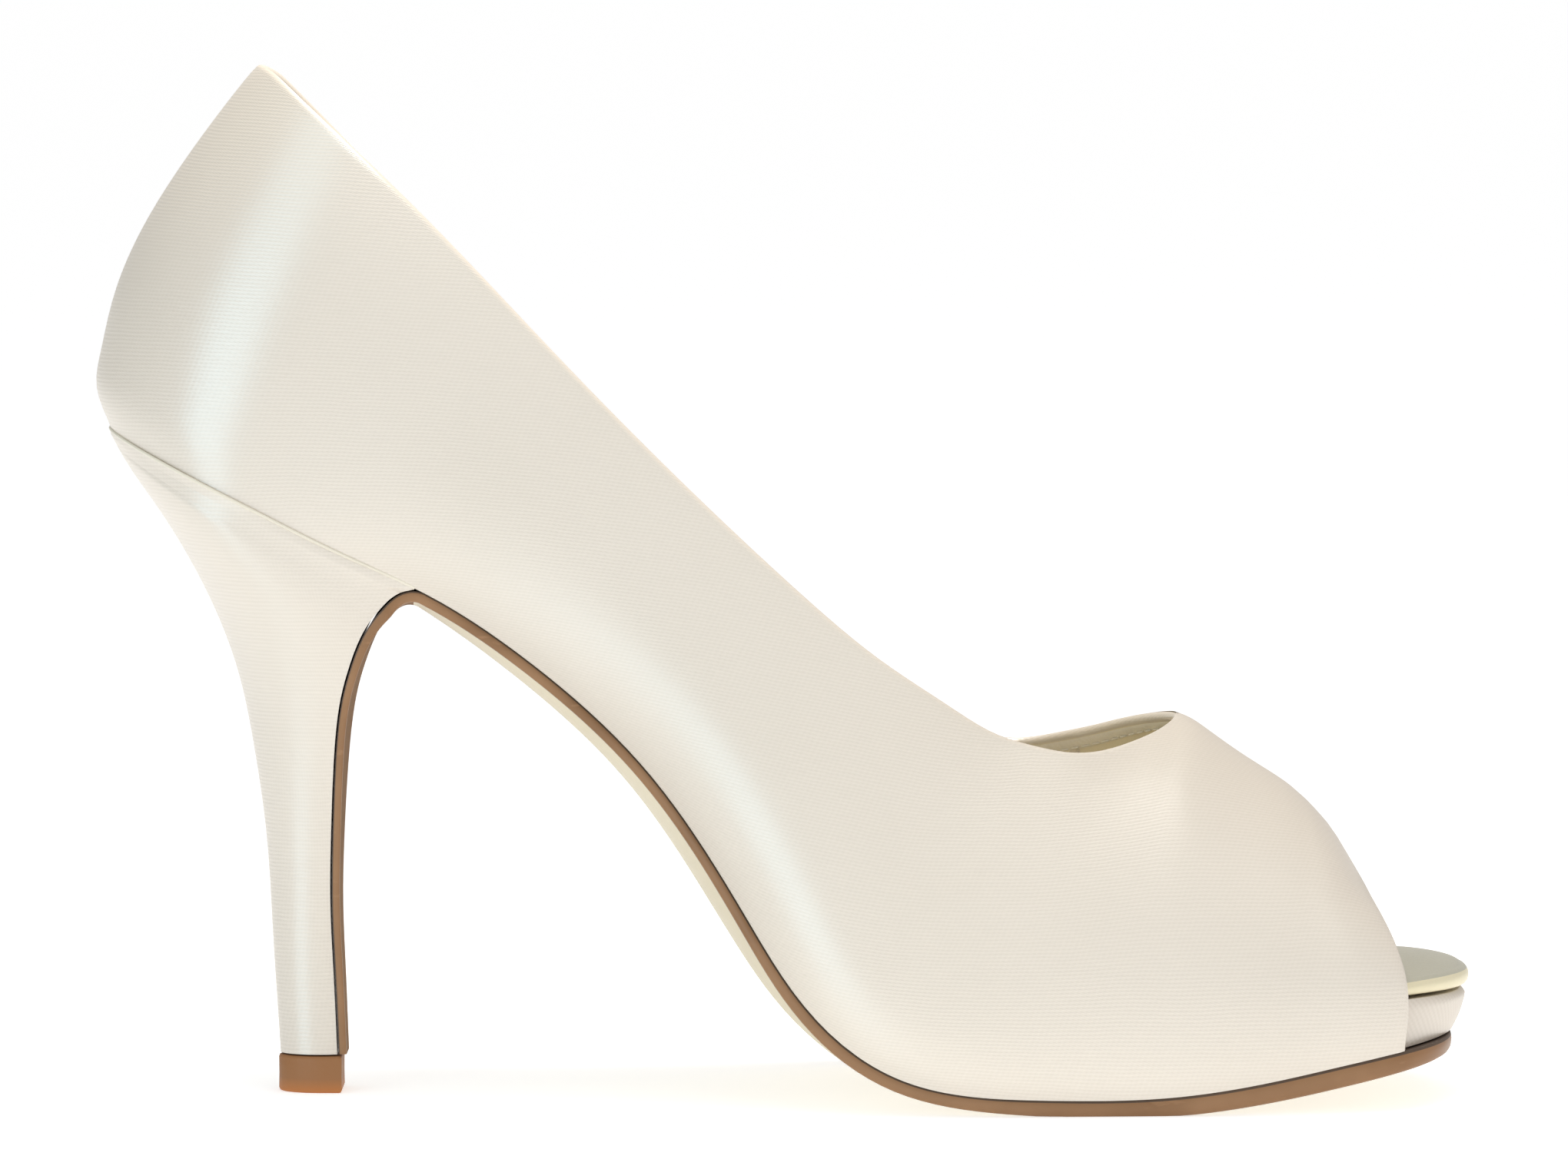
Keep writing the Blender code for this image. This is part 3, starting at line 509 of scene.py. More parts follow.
def flap_path():
    """Flap's rear face round the bend: points, directions towards the heel, and dish left."""
    foot, up, _ = section(BEND_START_SHARE * BED_LENGTH)
    radius = BEND_RADIUS + WAIST_THICKNESS
    centre = foot - up * radius
    start = degrees(atan2(up[2], up[0]))
    dish = SOLE_LINE["inner_dish"](BEND_START_SHARE)
    path = []
    for k, angle in enumerate(np.linspace(start, BEND_END_ANGLE, BEND_STEPS + 1)[1:]):
        away = np.array([cos(radians(angle)), 0.0, sin(radians(angle))])
        share = (k + 1) / BEND_STEPS
        path.append((centre + radius * away, away, dish * (1 - share * share * (3 - 2 * share))))
    return path


def breast_point(down):
    """Rear face of the flap at a share of the way down the heel."""
    top = flap_path()[-1][0]
    low = TOP_PIECE_HEIGHT + CLEARANCE
    return np.array([top[0] + BREAST["reach"](down) - BREAST_REACH, 0.0, top[2] + (low - top[2]) * down])


def breast_normal(down):
    """Unit direction from the flap towards the heel, level at the heel's foot."""
    if down == 1.0:
        return np.array([-1.0, 0.0, 0.0])
    ahead = breast_point(min(1.0, down + SLOPE_SHARE)) - breast_point(max(0.0, down - SLOPE_SHARE))
    normal = np.array([ahead[2], 0.0, -ahead[0]])
    return normal / np.linalg.norm(normal)


def heel_front_half(down):
    return HEEL["half"](down) * HEEL["front"](down)


def flap_row(place, away, half, dish):
    """Row across the flap, its inner side lifted by what is left of the waist's dish."""
    rows = []
    for share in ACROSS:
        lift = dish * share ** 2 if share < 0 else 0.0
        rows.append(place + away * lift + np.array([0.0, share * half, 0.0]))
    return rows


def breast_foot():
    """Forward end of the flap's front face, at the heel's foot."""
    return breast_point(1.0)[0] + FLAP_THICKNESS


def heel_layer(down, place, away, dish):
    """One section of the heel, from the back to a place on the sole's bend or flap."""
    back_top = section(0.0)[0] + np.array([-HEEL_LIP, 0.0, -CLEARANCE])
    low = TOP_PIECE_HEIGHT + CLEARANCE
    tip_back = breast_foot() - TIP_LENGTH
    overhang = tip_back - back_top[0]
    back = np.array([tip_back - HEEL["back"](down) * overhang, 0.0, back_top[2] + (low - back_top[2]) * down])
    front = place + away * CLEARANCE
    round_share = HEEL["round"](down)
    rows = []
    for share in heel_shares(round_share):
        middle = back + (front - back) * share
        half = HEEL["half"](down)
        if share < round_share:
            half *= sqrt(max(0.0, 1 - (1 - share / round_share) ** 2))
        else:
            half *= 1 + (HEEL["front"](down) - 1) * ((share - round_share) / (1 - round_share)) ** 2
        rows.append(flap_row(middle, away, half, dish * share ** 4))
    return rows


def heel_layers():
    """Sections from the foot up to the bend, whose last ones follow the sole round it."""
    layers = [heel_layer(down, breast_point(down), breast_normal(down), 0.0) for down in DOWN_STEPS[::-1]]
    shown = flap_path()[BEND_HIDDEN:]
    for k, (place, away, dish) in reversed(list(enumerate(shown))):
        layers.append(heel_layer(DOWN_STEPS[0] * (k + 1) / (len(shown) + 1), place, away, dish))
    return layers


def heel_shares(round_share):
    return [round_share * share for share in eased(ROUND_STEPS)] + spaced(round_share, 1.0, HEEL_STEPS)


def heel_seat():
    """Top of the heel, on the bed line under the upper."""
    end = SEAT_END_SHARE * BED_LENGTH
    rows = []
    for share in heel_shares(SEAT_ROUND / end):
        arc = share * end
        lip = HEEL_LIP * (1 - share)
        spread = np.array([1.0, 1.0 + 2 * lip / SEAT_WIDTH, 1.0])
        rows.append([point * spread - section(arc)[2] * lip for point in sole_row(arc, 0.0)])
    return rows


# Looks: folded edges, stitches and cloth
EDGE_ROLL = 0.00080
CLOTH_WALL = 0.00150
RIM_ROWS = (0.0013, 0.0019, 0.0027, 0.0038, 0.0052)
FOLD_DEPTH = 0.0013
BINDING_DEPTH = 0.0037
BINDING_LIFT = 0.00028
STITCH_DEPTH = 0.0030
STITCH_PITCH = 0.0021
STITCH_LENGTH = 0.0015
STITCH_RADIUS = 0.00020
LINING_SEAM = 0.0495
SKIRT_DROP = 0.0002
APEX_DROP = 0.0010
APEX_LENGTH = 0.0040
SEAM_RISE = 0.00028
SEAM_RADIUS = 0.00028
SEAM_SIDES = 8
ROLL_FADE = 0.0030
ROLL_ANGLES = (30, 60, 90, 120, 150)
PEEP_RIM = 0.0014
BINDING_STEP = 0.00024
BINDING_RIB = (0.00105, 0.00007)
STRIP_SINK = 0.00004
STRIP_UNDER = 0.00012
STITCH_LIFT = 0.00006
STITCH_SIDES = 7
STITCH_SHAPE = ((0.0, 0.45), (0.12, 0.85), (0.5, 1.0), (0.88, 0.85), (1.0, 0.45))
LAP_SIDE = 0.004
LAP_GAP = 0.0003
LAP_FOOT_SHARE = 0.74
LAP_STEP = 0.0007
LAP_HALF = 0.0011
LAP_LIFT = 0.00022
LAP_STITCH_SHIFT = 0.0006
LAP_STITCH_LIFT = 0.00028
INSOLE_ROLL = 0.0011
TREAD_LIFT = 0.0006
RIB_PITCH = 0.00066
TWILL_PITCH = 0.00090


def node(tree, kind, inputs=None, **settings):
    """New shader node; its inputs are values or other nodes' outputs."""
    made = tree.nodes.new("ShaderNode" + kind)
    for key, value in settings.items():
        setattr(made, key, value)
    for socket, value in (inputs or {}).items():
        if isinstance(value, bpy.types.NodeSocket):
            tree.links.new(value, made.inputs[socket])
        else:
            made.inputs[socket].default_value = value
    return made


def maths(tree, operation, first, second=0.0):
    return node(tree, "Math", {0: first, 1: second}, operation=operation).outputs[0]


def blend_colour(tree, share, *ends):
    """Colour between two, each a colour or a node's output, by a share that a node gives."""
    first, second = [end if isinstance(end, bpy.types.NodeSocket) else (*end, 1.0) for end in ends]
    return node(tree, "Mix", {0: share, 6: first, 7: second}, data_type="RGBA").outputs[2]


def ramp(tree, value, low, high, to_low=0.0, to_high=1.0):
    return node(tree, "MapRange", {0: value, 1: low, 2: high, 3: to_low, 4: to_high}).outputs[0]


def new_material(name, roughness, **fixed):
    made = bpy.data.materials.new(name)
    made.use_nodes = True
    surface = made.node_tree.nodes["Principled BSDF"]
    surface.inputs["Roughness"].default_value = roughness
    for socket, value in fixed.items():
        surface.inputs[socket.replace("_", " ")].default_value = value
    return made, made.node_tree, surface


def noise(tree, scale, detail=3.0, stretch=(1.0, 1.0, 1.0)):
    place = node(tree, "TexCoord").outputs["Object"]
    spread = node(tree, "Mapping", {"Vector": place, "Scale": stretch}).outputs[0]
    return node(tree, "TexNoise", {"Vector": spread, "Scale": scale, "Detail": detail}).outputs[0]


def grain_cells(tree, scale, width):
    """Fine cells of leather: 0 in their creases and 1 inside them."""
    place = node(tree, "TexCoord").outputs["Object"]
    cells = node(tree, "TexVoronoi", {"Vector": place, "Scale": scale}, feature="DISTANCE_TO_EDGE").outputs[0]
    return ramp(tree, cells, 0.0, width)


def connect(tree, surface, colour, roughness, height, bump_strength, bump_distance):
    tree.links.new(colour, surface.inputs["Base Color"])
    tree.links.new(roughness, surface.inputs["Roughness"])
    bump = node(tree, "Bump", {"Height": height, "Strength": bump_strength, "Distance": bump_distance})
    tree.links.new(bump.outputs[0], surface.inputs["Normal"])


def satin_material():
    """Satin with a fine rib and slanted float threads, in the cloth's own coordinates."""
    made, tree, surface = new_material("ivory_satin", SATIN_ROUGHNESS, Anisotropic=0.80,
                                       Anisotropic_Rotation=0.25, IOR=1.90, Specular_IOR_Level=1.0)
    cloth = node(tree, "UVMap", uv_map="cloth").outputs[0]
    along, up, _ = node(tree, "SeparateXYZ", {0: cloth}).outputs
    wander = maths(tree, "MULTIPLY", noise(tree, 60.0, 2.0), 0.0009)
    ribbed = maths(tree, "ADD", up, wander)
    rib = maths(tree, "SINE", maths(tree, "MULTIPLY", ribbed, 2 * pi / RIB_PITCH))
    slant = maths(tree, "MULTIPLY", maths(tree, "ADD", along, up), 2 * pi / TWILL_PITCH)
    dots = maths(tree, "MULTIPLY", maths(tree, "SINE", slant), rib)
    weave = maths(tree, "ADD", maths(tree, "MULTIPLY", rib, 0.6), maths(tree, "MULTIPLY", dots, 0.4))
    slub = noise(tree, 900.0, 2.0, (1.0, 1.0, 5.0))
    height = maths(tree, "ADD", weave, maths(tree, "MULTIPLY", slub, 0.8))
    cloud = noise(tree, 22.0)
    share = maths(tree, "ADD", maths(tree, "MULTIPLY", weave, 0.45), ramp(tree, cloud, 0.3, 0.7, 0.35, 0.65))
    colour = blend_colour(tree, share, SATIN_DARK, SATIN_LIGHT)
    rough = ramp(tree, slub, 0.2, 0.8, SATIN_ROUGHNESS - 0.04, SATIN_ROUGHNESS + 0.05)
    connect(tree, surface, colour, rough, height, 0.40, 0.00004)
    tangent = node(tree, "Tangent", direction_type="UV_MAP", uv_map="cloth")
    tree.links.new(tangent.outputs[0], surface.inputs["Tangent"])
    return made


def leather_material(name, light, dark, roughness, grain=900.0, **fixed):
    """Leather with a fine grain and soft clouds of tone."""
    made, tree, surface = new_material(name, roughness, **fixed)
    creases = grain_cells(tree, grain, 0.18)
    fine = noise(tree, 2.4 * grain)
    height = maths(tree, "ADD", creases, maths(tree, "MULTIPLY", fine, 0.5))
    cloud = ramp(tree, noise(tree, 35.0), 0.3, 0.7, 0.3, 1.0)
    share = maths(tree, "MULTIPLY", cloud, ramp(tree, creases, 0.0, 1.0, 0.85, 1.0))
    colour = blend_colour(tree, share, dark, light)
    rough = ramp(tree, fine, 0.2, 0.8, roughness - 0.05, roughness + 0.06)
    connect(tree, surface, colour, rough, height, 0.22, 0.00005)
    return made


def paint_material(name, light, dark, roughness):
    """Painted sole edge: smooth, with hair scratches along it."""
    made, tree, surface = new_material(name, roughness, Coat_Weight=0.06, Coat_Roughness=0.30,
                                       Specular_IOR_Level=0.35)
    scratch = ramp(tree, noise(tree, 700.0, 4.0, (0.25, 0.25, 1.0)), 0.60, 0.70)
    cloud = ramp(tree, noise(tree, 70.0), 0.3, 0.7)
    share = maths(tree, "MAXIMUM", cloud, scratch)
    colour = blend_colour(tree, share, dark, light)
    rough = ramp(tree, cloud, 0.0, 1.0, roughness - 0.05, roughness + 0.08)
    connect(tree, surface, colour, rough, maths(tree, "SUBTRACT", cloud, scratch), 0.20, 0.00004)
    return made


def rubber_material(name, light, low_edge, roughness):
    """Dull rubber, brighter towards the ground."""
    made, tree, surface = new_material(name, roughness)
    height_over = node(tree, "SeparateXYZ", {0: node(tree, "TexCoord").outputs["Object"]}).outputs[2]
    share = ramp(tree, height_over, 0.0004, 0.0024, 1.0, 0.0)
    speck = noise(tree, 1500.0)
    colour = blend_colour(tree, share, light, low_edge)
    rough = ramp(tree, speck, 0.2, 0.8, roughness - 0.06, roughness + 0.06)
    connect(tree, surface, colour, rough, speck, 0.25, 0.00006)
    return made


def lining_material():
    """Inside of the upper: a satin fold along the free edge, then leather."""
    made, tree, surface = new_material("upper_lining", 0.48)
    distance = node(tree, "Attribute", attribute_name="edge_distance").outputs["Fac"]
    fold = ramp(tree, distance, FOLD_DEPTH - 0.0001, FOLD_DEPTH + 0.0001, 1.0, 0.0)
    creases = grain_cells(tree, 800.0, 0.2)
    cloud = ramp(tree, noise(tree, 30.0), 0.3, 0.7)
    leather = blend_colour(tree, cloud, LINING_DARK, LINING_LIGHT)
    colour = blend_colour(tree, fold, leather, SATIN_LIGHT)
    rough = ramp(tree, fold, 0.0, 1.0, 0.52, 0.40)
    connect(tree, surface, colour, rough, maths(tree, "ADD", creases, fold), 0.25, 0.00006)
    return made


SATIN_LIGHT = (0.705, 0.625, 0.535)
SATIN_DARK = (0.620, 0.545, 0.450)
SATIN_ROUGHNESS = 0.38
LINING_LIGHT = (0.900, 0.800, 0.600)
LINING_DARK = (0.800, 0.700, 0.500)

satin = satin_material()
lining = lining_material()
pewter = leather_material("pewter_leather", (0.57, 0.545, 0.44), (0.475, 0.455, 0.365), 0.34, Metallic=0.45)
# Cream-gold for the insole's lower sides and underside: painted sheen standing for the pearly leather's shine
# in side light.
insole_painted_sheen = leather_material("insole_painted_sheen_leather", (0.80, 0.73, 0.52), (0.72, 0.65, 0.45), 0.36,
                               Metallic=0.25)
cream = leather_material("cream_sole_leather", (0.70, 0.62, 0.46), (0.62, 0.54, 0.38), 0.50, grain=600.0)
# Darker grey-brown band along the edge of the sole's underside, between the cream and the brown edge.
rim_grey = leather_material("grey_brown_sole_rim", (0.46, 0.40, 0.31), (0.36, 0.30, 0.22), 0.50, grain=700.0)
paint = paint_material("brown_edge_paint", (0.305, 0.162, 0.076), (0.235, 0.118, 0.050), 0.42)
# Near-black band on the sole's top edge and its top face: painted shadow of the gap under the upper.
sole_painted_shadow = leather_material("sole_top_painted_shadow", (0.100, 0.062, 0.038), (0.068, 0.042, 0.026), 0.60)
flap_brown = leather_material("brown_flap", (0.250, 0.150, 0.085), (0.200, 0.115, 0.062), 0.75,
                              Specular_IOR_Level=0.05)
tan = rubber_material("tan_rubber", (0.295, 0.125, 0.040), (0.440, 0.155, 0.035), 0.55)
thread = leather_material("ivory_thread", (0.80, 0.74, 0.62), (0.70, 0.64, 0.52), 0.55, grain=3000.0)
ribbon = leather_material("ribbed_binding", (0.84, 0.77, 0.65), (0.74, 0.67, 0.55), 0.50, grain=1500.0)


def bridge(builder, rings, closed=True, flip=False):
    """Faces from each ring or row of vertices to the next."""
    made = []
    for low, high in zip(rings, rings[1:]):
        for k in range(len(low) - (not closed)):
            after = (k + 1) % len(low)
            face = [low[k], low[after], high[after], high[k]]
            made.append(builder.faces.new(face[::-1] if flip else face))
    return made


def add_object(name, data):
    made = bpy.data.objects.new(name, data)
    bpy.context.scene.collection.objects.link(made)
    return made


def finish_object(name, builder, materials, sharp=55.0, replaces=None):
    """Mesh object of the builder's faces, placed like the solids and riding on the shoe."""
    bmesh.ops.recalc_face_normals(builder, faces=builder.faces)
    cloth = builder.verts.layers.float_vector.get("cloth")
    if cloth is not None:
        uv = builder.loops.layers.uv.new("cloth")
        for face in builder.faces:
            for loop in face.loops:
                loop[uv].uv = loop.vert[cloth][:2]
    mesh = bpy.data.meshes.new(name)
    builder.to_mesh(mesh)
    builder.free()
    mesh.transform(Matrix.Translation((0.0, centre_shift(), 0.0)))
    for finish in materials:
        mesh.materials.append(finish)
    mesh.shade_smooth()
    mesh.set_sharp_from_angle(angle=radians(sharp))
    made = add_object(name, mesh)
    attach(made, "root")
    if replaces:
        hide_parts(replaces)


# Upper
def fine_stations():
    """Foot and top of each column, closer together round the back and the throat."""
    throat = THROAT_SHARE * BED_LENGTH
    start = throat - THROAT_ROUND
    end = PEEP_SHARE * BED_LENGTH
    same = [SEAT_ROUND * share for share in eased(BACK_STEPS)] + spaced(SEAT_ROUND, start, SIDE_STEPS)
    front = spaced(throat, end - PEEP_RIM, FRONT_STEPS) + [end]
    bent = [start + THROAT_ROUND * sin(QUARTER * k / THROAT_STEPS) for k in range(1, THROAT_STEPS)]
    return list(zip(same + spaced(start, throat, THROAT_STEPS) + front, same + bent + [throat] + front))


def walked(points):
    """Length walked along a polyline, at each of its points."""
    return np.concatenate([[0.0], np.cumsum(np.linalg.norm(np.diff(points, axis=0), axis=1))])


def fine_column(foot, top, side):
    """Points of one column, their girth from the widest place, and its index."""
    def at(level):
        return upper_point(foot + (top - foot) * (level / 2) ** 2, side, level)

    low = [at(k / LOW_STEPS) for k in range(LOW_STEPS)]
    low[0] = low[0] - section(foot)[1] * SKIRT_DROP
    shares = np.arange(TRY_STEPS + 1) / TRY_STEPS
    length = walked(np.array([at(1 + share) for share in shares]))
    rim = [length[-1] - depth for depth in RIM_ROWS[::-1]] + [length[-1]]
    places = list(np.linspace(0.0, rim[0], HIGH_STEPS)[:-1]) + rim
    high = [at(1 + float(np.interp(place, length, shares))) for place in places]
    top_round = APEX_DROP * max(0.0, 1 - foot / APEX_LENGTH) ** 2
    count = len(high) - 1
    high = [point - np.array([0.0, 0.0, top_round * (k / count) ** 6]) for k, point in enumerate(high)]
    points = low + high
    girth = walked(points)
    return points, girth - girth[len(low)], len(low)


def upper_grids(builder, cloth):
    """Both sides' vertices, shared at the back and along the ridge."""
    grids = {}
    for side in ("inner", "outer"):
        rows, travelled, last = [], 0.0, None
        for index, (foot, top) in enumerate(fine_stations()):
            points, girth, middle = fine_column(foot, top, side)
            waist = points[middle]
            if last is not None:
                travelled += hypot(waist[0] - last[0], waist[1] - last[1])
            last = waist
            row = []
            for k, (point, up) in enumerate(zip(points, girth)):
                at_ridge = k == len(points) - 1 and index >= THROAT_COLUMN
                if side == "outer" and (index == 0 or at_ridge):
                    row.append(grids["inner"][index][k])
                    continue
                vert = builder.verts.new(point)
                vert[cloth] = (travelled + point[0] - waist[0], waist[2] + up, 0.0)
                row.append(vert)
            rows.append(row)
        bridge(builder, rows, False, side == "inner")
        grids[side] = rows
    return grids


def upper_edges(grids):
    """The collar's closed edge, the peep toe's edge and the sole line, as lists of vertices."""
    inner, outer = grids["inner"], grids["outer"]
    collar = [row[-1] for row in inner[:THROAT_COLUMN + 1] + outer[THROAT_COLUMN - 1:0:-1]]
    peep = inner[-1] + outer[-1][-2::-1]
    sole = [row[0] for row in inner[::-1] + outer[1:]]
    return collar, peep, sole


def away_directions(chain, closed, normals):
    """Direction that leads on from the surface, at each point of a free edge."""
    found, edge_verts = {}, set(chain)
    count = len(chain)
    for k, vert in enumerate(chain):
        before = chain[k - 1] if closed or k else vert
        after = chain[(k + 1) % count] if closed or k < count - 1 else vert
        away = (after.co - before.co).cross(normals[vert]).normalized()
        near = (edge.other_vert(vert) for edge in vert.link_edges)
        inner = next(other for other in near if other not in edge_verts)
        found[vert] = -away if away.dot(inner.co - vert.co) > 0 else away
    return found


def make_upper():
    """Shell with rolled free edges, satin outside and lining inside. Gives its rim and its lining."""
    builder = bmesh.new()
    cloth = builder.verts.layers.float_vector.new("cloth")
    distance = builder.verts.layers.float.new("edge_distance")
    grids = upper_grids(builder, cloth)
    builder.normal_update()
    outside, surface = list(builder.faces), list(builder.verts)
    normals = {vert: vert.normal.copy() for vert in surface}
    collar, peep, sole = upper_edges(grids)
    away = {**away_directions(collar, True, normals), **away_directions(peep, False, normals)}
    tree = kdtree.KDTree(len(away))
    for k, vert in enumerate(away):
        tree.insert(vert.co, k)
    tree.balance()
    for vert in surface:
        vert[distance] = tree.find(vert.co)[2]
    rim = [(*vert.co, *away[vert], *normals[vert]) for vert in collar]
    for vert, direction in away.items():
        vert.co = vert.co - direction * EDGE_ROLL
    inside = {}
    for vert in surface:
        share = min(1.0, vert[distance] / ROLL_FADE)
        depth = 2 * EDGE_ROLL + (CLOTH_WALL - 2 * EDGE_ROLL) * share
        inside[vert] = builder.verts.new(vert.co - normals[vert] * depth)
        inside[vert][cloth] = vert[cloth]
        inside[vert][distance] = vert[distance]
    for chain, closed in ((collar, True), (peep, False)):
        rings = [chain]
        for turn in ROLL_ANGLES:
            angle = radians(turn)
            ring = []
            for vert in chain:
                arm = normals[vert] * cos(angle) + away[vert] * sin(angle)
                fresh = builder.verts.new(vert.co - normals[vert] * EDGE_ROLL + arm * EDGE_ROLL)
                fresh[cloth] = Vector(vert[cloth]) + Vector((0.0, EDGE_ROLL * angle, 0.0))
                ring.append(fresh)
            rings.append(ring)
        rings.append([inside[vert] for vert in chain])
        bridge(builder, rings, closed)
        if not closed:
            builder.faces.new([ring[0] for ring in rings])
            builder.faces.new([ring[-1] for ring in rings])
    bridge(builder, [sole, [inside[vert] for vert in sole]], False)
    lining_faces = [builder.faces.new([inside[vert] for vert in reversed(face.verts)]) for face in outside]
    for face in lining_faces:
        face.material_index = 1
    bmesh.ops.recalc_face_normals(builder, faces=builder.faces)
    order = {}
    polygons = [[order.setdefault(vert, len(order)) for vert in face.verts] for face in lining_faces]
    lining_surface = BVHTree.FromPolygons([vert.co.copy() for vert in order], polygons)
    finish_object("upper_satin", builder, [satin, lining], replaces="upper")
    return rim, lining_surface


def resample(points, step, closed):
    """Evenly spaced points along a polyline."""
    points = np.array(points)
    if closed:
        points = np.vstack([points, points[:1]])
    length = walked(points[:, :3])
    count = max(2, int(round(length[-1] / step)))
    places = np.linspace(0.0, length[-1], count + 1)[:-1 if closed else None]
    return np.column_stack([np.interp(places, length, points[:, k]) for k in range(points.shape[1])])


def on_lining(point, lift):
    """Nearest place on the lining, lifted into the shoe."""
    place, normal, _, _ = lining_tree.find_nearest(Vector(point))
    return place + normal * lift


def behind_rim(sample, depth):
    """Place about on the lining, a depth down from a sample of the rim."""
    return Vector(sample[:3]) - Vector(sample[3:6]) * depth - Vector(sample[6:9]) * CLOTH_WALL


def make_strip(name, path, depths, height, finish, closed, rib=None):
    """Raised strip on the lining along samples of a rim; rib gives its ribs' pitch and height."""
    builder = bmesh.new()
    cloth = builder.verts.layers.float_vector.new("cloth")
    rows = []
    last = len(depths) - 1
    travelled = 0.0
    for k, sample in enumerate(path):
        if k:
            travelled += (Vector(sample[:3]) - Vector(path[k - 1][:3])).length
        row = []
        for j, depth in enumerate(depths):
            share = j / last
            swell = sin(pi * share) ** 0.5 if 0 < j < last else 0.0
            lift = height * swell
            if rib:
                lift += rib[1] * swell * sin(2 * pi * (travelled + 0.6 * depth) / rib[0])
            vert = builder.verts.new(on_lining(behind_rim(sample, depth), lift - STRIP_SINK))
            vert[cloth] = (travelled, depth, 0.0)
            row.append(vert)
        for j in (last - 1, 1):
            row.append(builder.verts.new(on_lining(behind_rim(sample, depths[j]), -STRIP_UNDER)))
        rows.append(row)
    bridge(builder, rows + rows[:1] if closed else rows)
    if not closed:
        builder.faces.new(rows[0])
        builder.faces.new(rows[-1])
    finish_object(name, builder, [finish], sharp=70.0)


def add_stitch(builder, start, end):
    """Short round thread between two points."""
    axis = (end - start).normalized()
    across = axis.cross(Vector((0.3, 0.5, 0.8))).normalized()
    other = axis.cross(across)
    turns = [2 * pi * k / STITCH_SIDES for k in range(STITCH_SIDES)]
    rings = []
    for along, wide in STITCH_SHAPE:
        middle = start.lerp(end, along)
        arms = [across * cos(turn) + other * sin(turn) for turn in turns]
        rings.append([builder.verts.new(middle + arm * STITCH_RADIUS * wide) for arm in arms])
    bridge(builder, rings)
    builder.faces.new(rings[0][::-1])
    builder.faces.new(rings[-1])


def make_stitches(name, points):
    """Row of stitches along points, with none across a break in it."""
    builder = bmesh.new()
    for here, there in zip(points, points[1:]):
        if (there - here).length <= 3 * STITCH_PITCH:
            middle = here.lerp(there, 0.5)
            half = (there - here) * (0.5 * STITCH_LENGTH / STITCH_PITCH)
            add_stitch(builder, middle - half, middle + half)
    finish_object(name, builder, [thread], sharp=80.0)


rim_samples, lining_tree = make_upper()
make_strip("topline_binding", resample(rim_samples, BINDING_STEP, True),
           list(np.linspace(FOLD_DEPTH, BINDING_DEPTH, 8)), BINDING_LIFT, ribbon, True, BINDING_RIB)
make_stitches("topline_stitches", [on_lining(behind_rim(sample, STITCH_DEPTH), BINDING_LIFT + STITCH_LIFT)
                                   for sample in resample(rim_samples, STITCH_PITCH, True)])


def make_lining_seam(side):
    """Overlapped edge of the lining's front part on one side, with its stitches."""
    sign = -1 if side == "inner" else 1
    rims = [sample for sample in rim_samples if sample[1] * sign > LAP_SIDE]
    top = min(rims, key=lambda sample: abs(sample[0] - LINING_SEAM))
    place = behind_rim(top, BINDING_DEPTH + LAP_GAP)
    down, path = [], []
    foot = LAP_FOOT_SHARE * BED_LENGTH
    low = section(foot)[0][2] + insole_height(foot) + INSOLE_DEPTH
    for height in np.arange(place.z, low, -LAP_STEP):
        place, normal, _, _ = lining_tree.find_nearest(Vector((LINING_SEAM, place.y, height)))
        down.append(tuple(place))
        path.append(tuple(place - normal * CLOTH_WALL) + (1.0, 0.0, 0.0) + tuple(-normal))
    depths = list(np.linspace(-LAP_HALF, LAP_HALF, 6))
    make_strip("lining_seam_" + side, path, depths, LAP_LIFT, lining, False)
    shift = Vector((LAP_STITCH_SHIFT, 0.0, 0.0))
    make_stitches("lining_stitches_" + side, [on_lining(Vector(point) + shift, LAP_STITCH_LIFT)
                                              for point in resample(down, STITCH_PITCH, False)])


for side in ("inner", "outer"):
    make_lining_seam(side)


# Stacks of sections: insole, platform, sole, heel and top piece
def ring_of(rows):
    inner = [row[0] for row in rows]
    outer = [row[-1] for row in rows]
    return inner[:-1] + rows[-1][:-1] + outer[:0:-1] + rows[0][:0:-1]


def make_stack(name, layers, materials, bands, replaces, turn=0.0, low_finish=(0,), high_finish=(0,),
               level_cloth=False):
    """Closed solid from a stack of sections; bands give each side band's material."""
    builder = bmesh.new()
    cloth = builder.verts.layers.float_vector.new("cloth")
    cos_turn, sin_turn = cos(turn), sin(turn)

    def set_cloth(vert, along, up):
        vert[cloth] = (along * cos_turn - up * sin_turn, along * sin_turn + up * cos_turn, 0.0)

    def grid(rows, flip, finish):
        verts = [[builder.verts.new(point) for point in row] for row in rows]
        for row in verts:
            for vert in row:
                set_cloth(vert, vert.co.x, vert.co.y)
        for k, face in enumerate(bridge(builder, verts, False, flip)):
            face.material_index = finish[min(k // (len(rows[0]) - 1), len(finish) - 1)]
        return verts

    low_grid = grid(layers[0], False, low_finish)
    high_grid = grid(layers[-1], True, high_finish)
    between = [[builder.verts.new(point) for point in ring_of(layer)] for layer in layers[1:-1]]
    rings = [ring_of(low_grid), *between, ring_of(high_grid)]
    climb = np.zeros(len(rings[0]))
    for index, ring in enumerate(rings):
        steps = [(ring[k].co - ring[k - 1].co).length for k in range(len(ring))]
        total = sum(steps)
        gone = np.cumsum([0.0] + steps[1:])
        if index:
            climb += [(a.co - b.co).length for a, b in zip(ring, rings[index - 1])]
        for k, vert in enumerate(ring):
            up = vert.co.z if level_cloth else climb[k]
            set_cloth(vert, min(gone[k], total - gone[k]), up)
    for k, face in enumerate(bridge(builder, rings)):
        face.material_index = bands[min(k // len(climb), len(bands) - 1)]
    bmesh.ops.remove_doubles(builder, verts=builder.verts, dist=WELD)
    bmesh.ops.dissolve_degenerate(builder, edges=builder.edges, dist=WELD)
    finish_object(name, builder, materials, replaces=replaces)


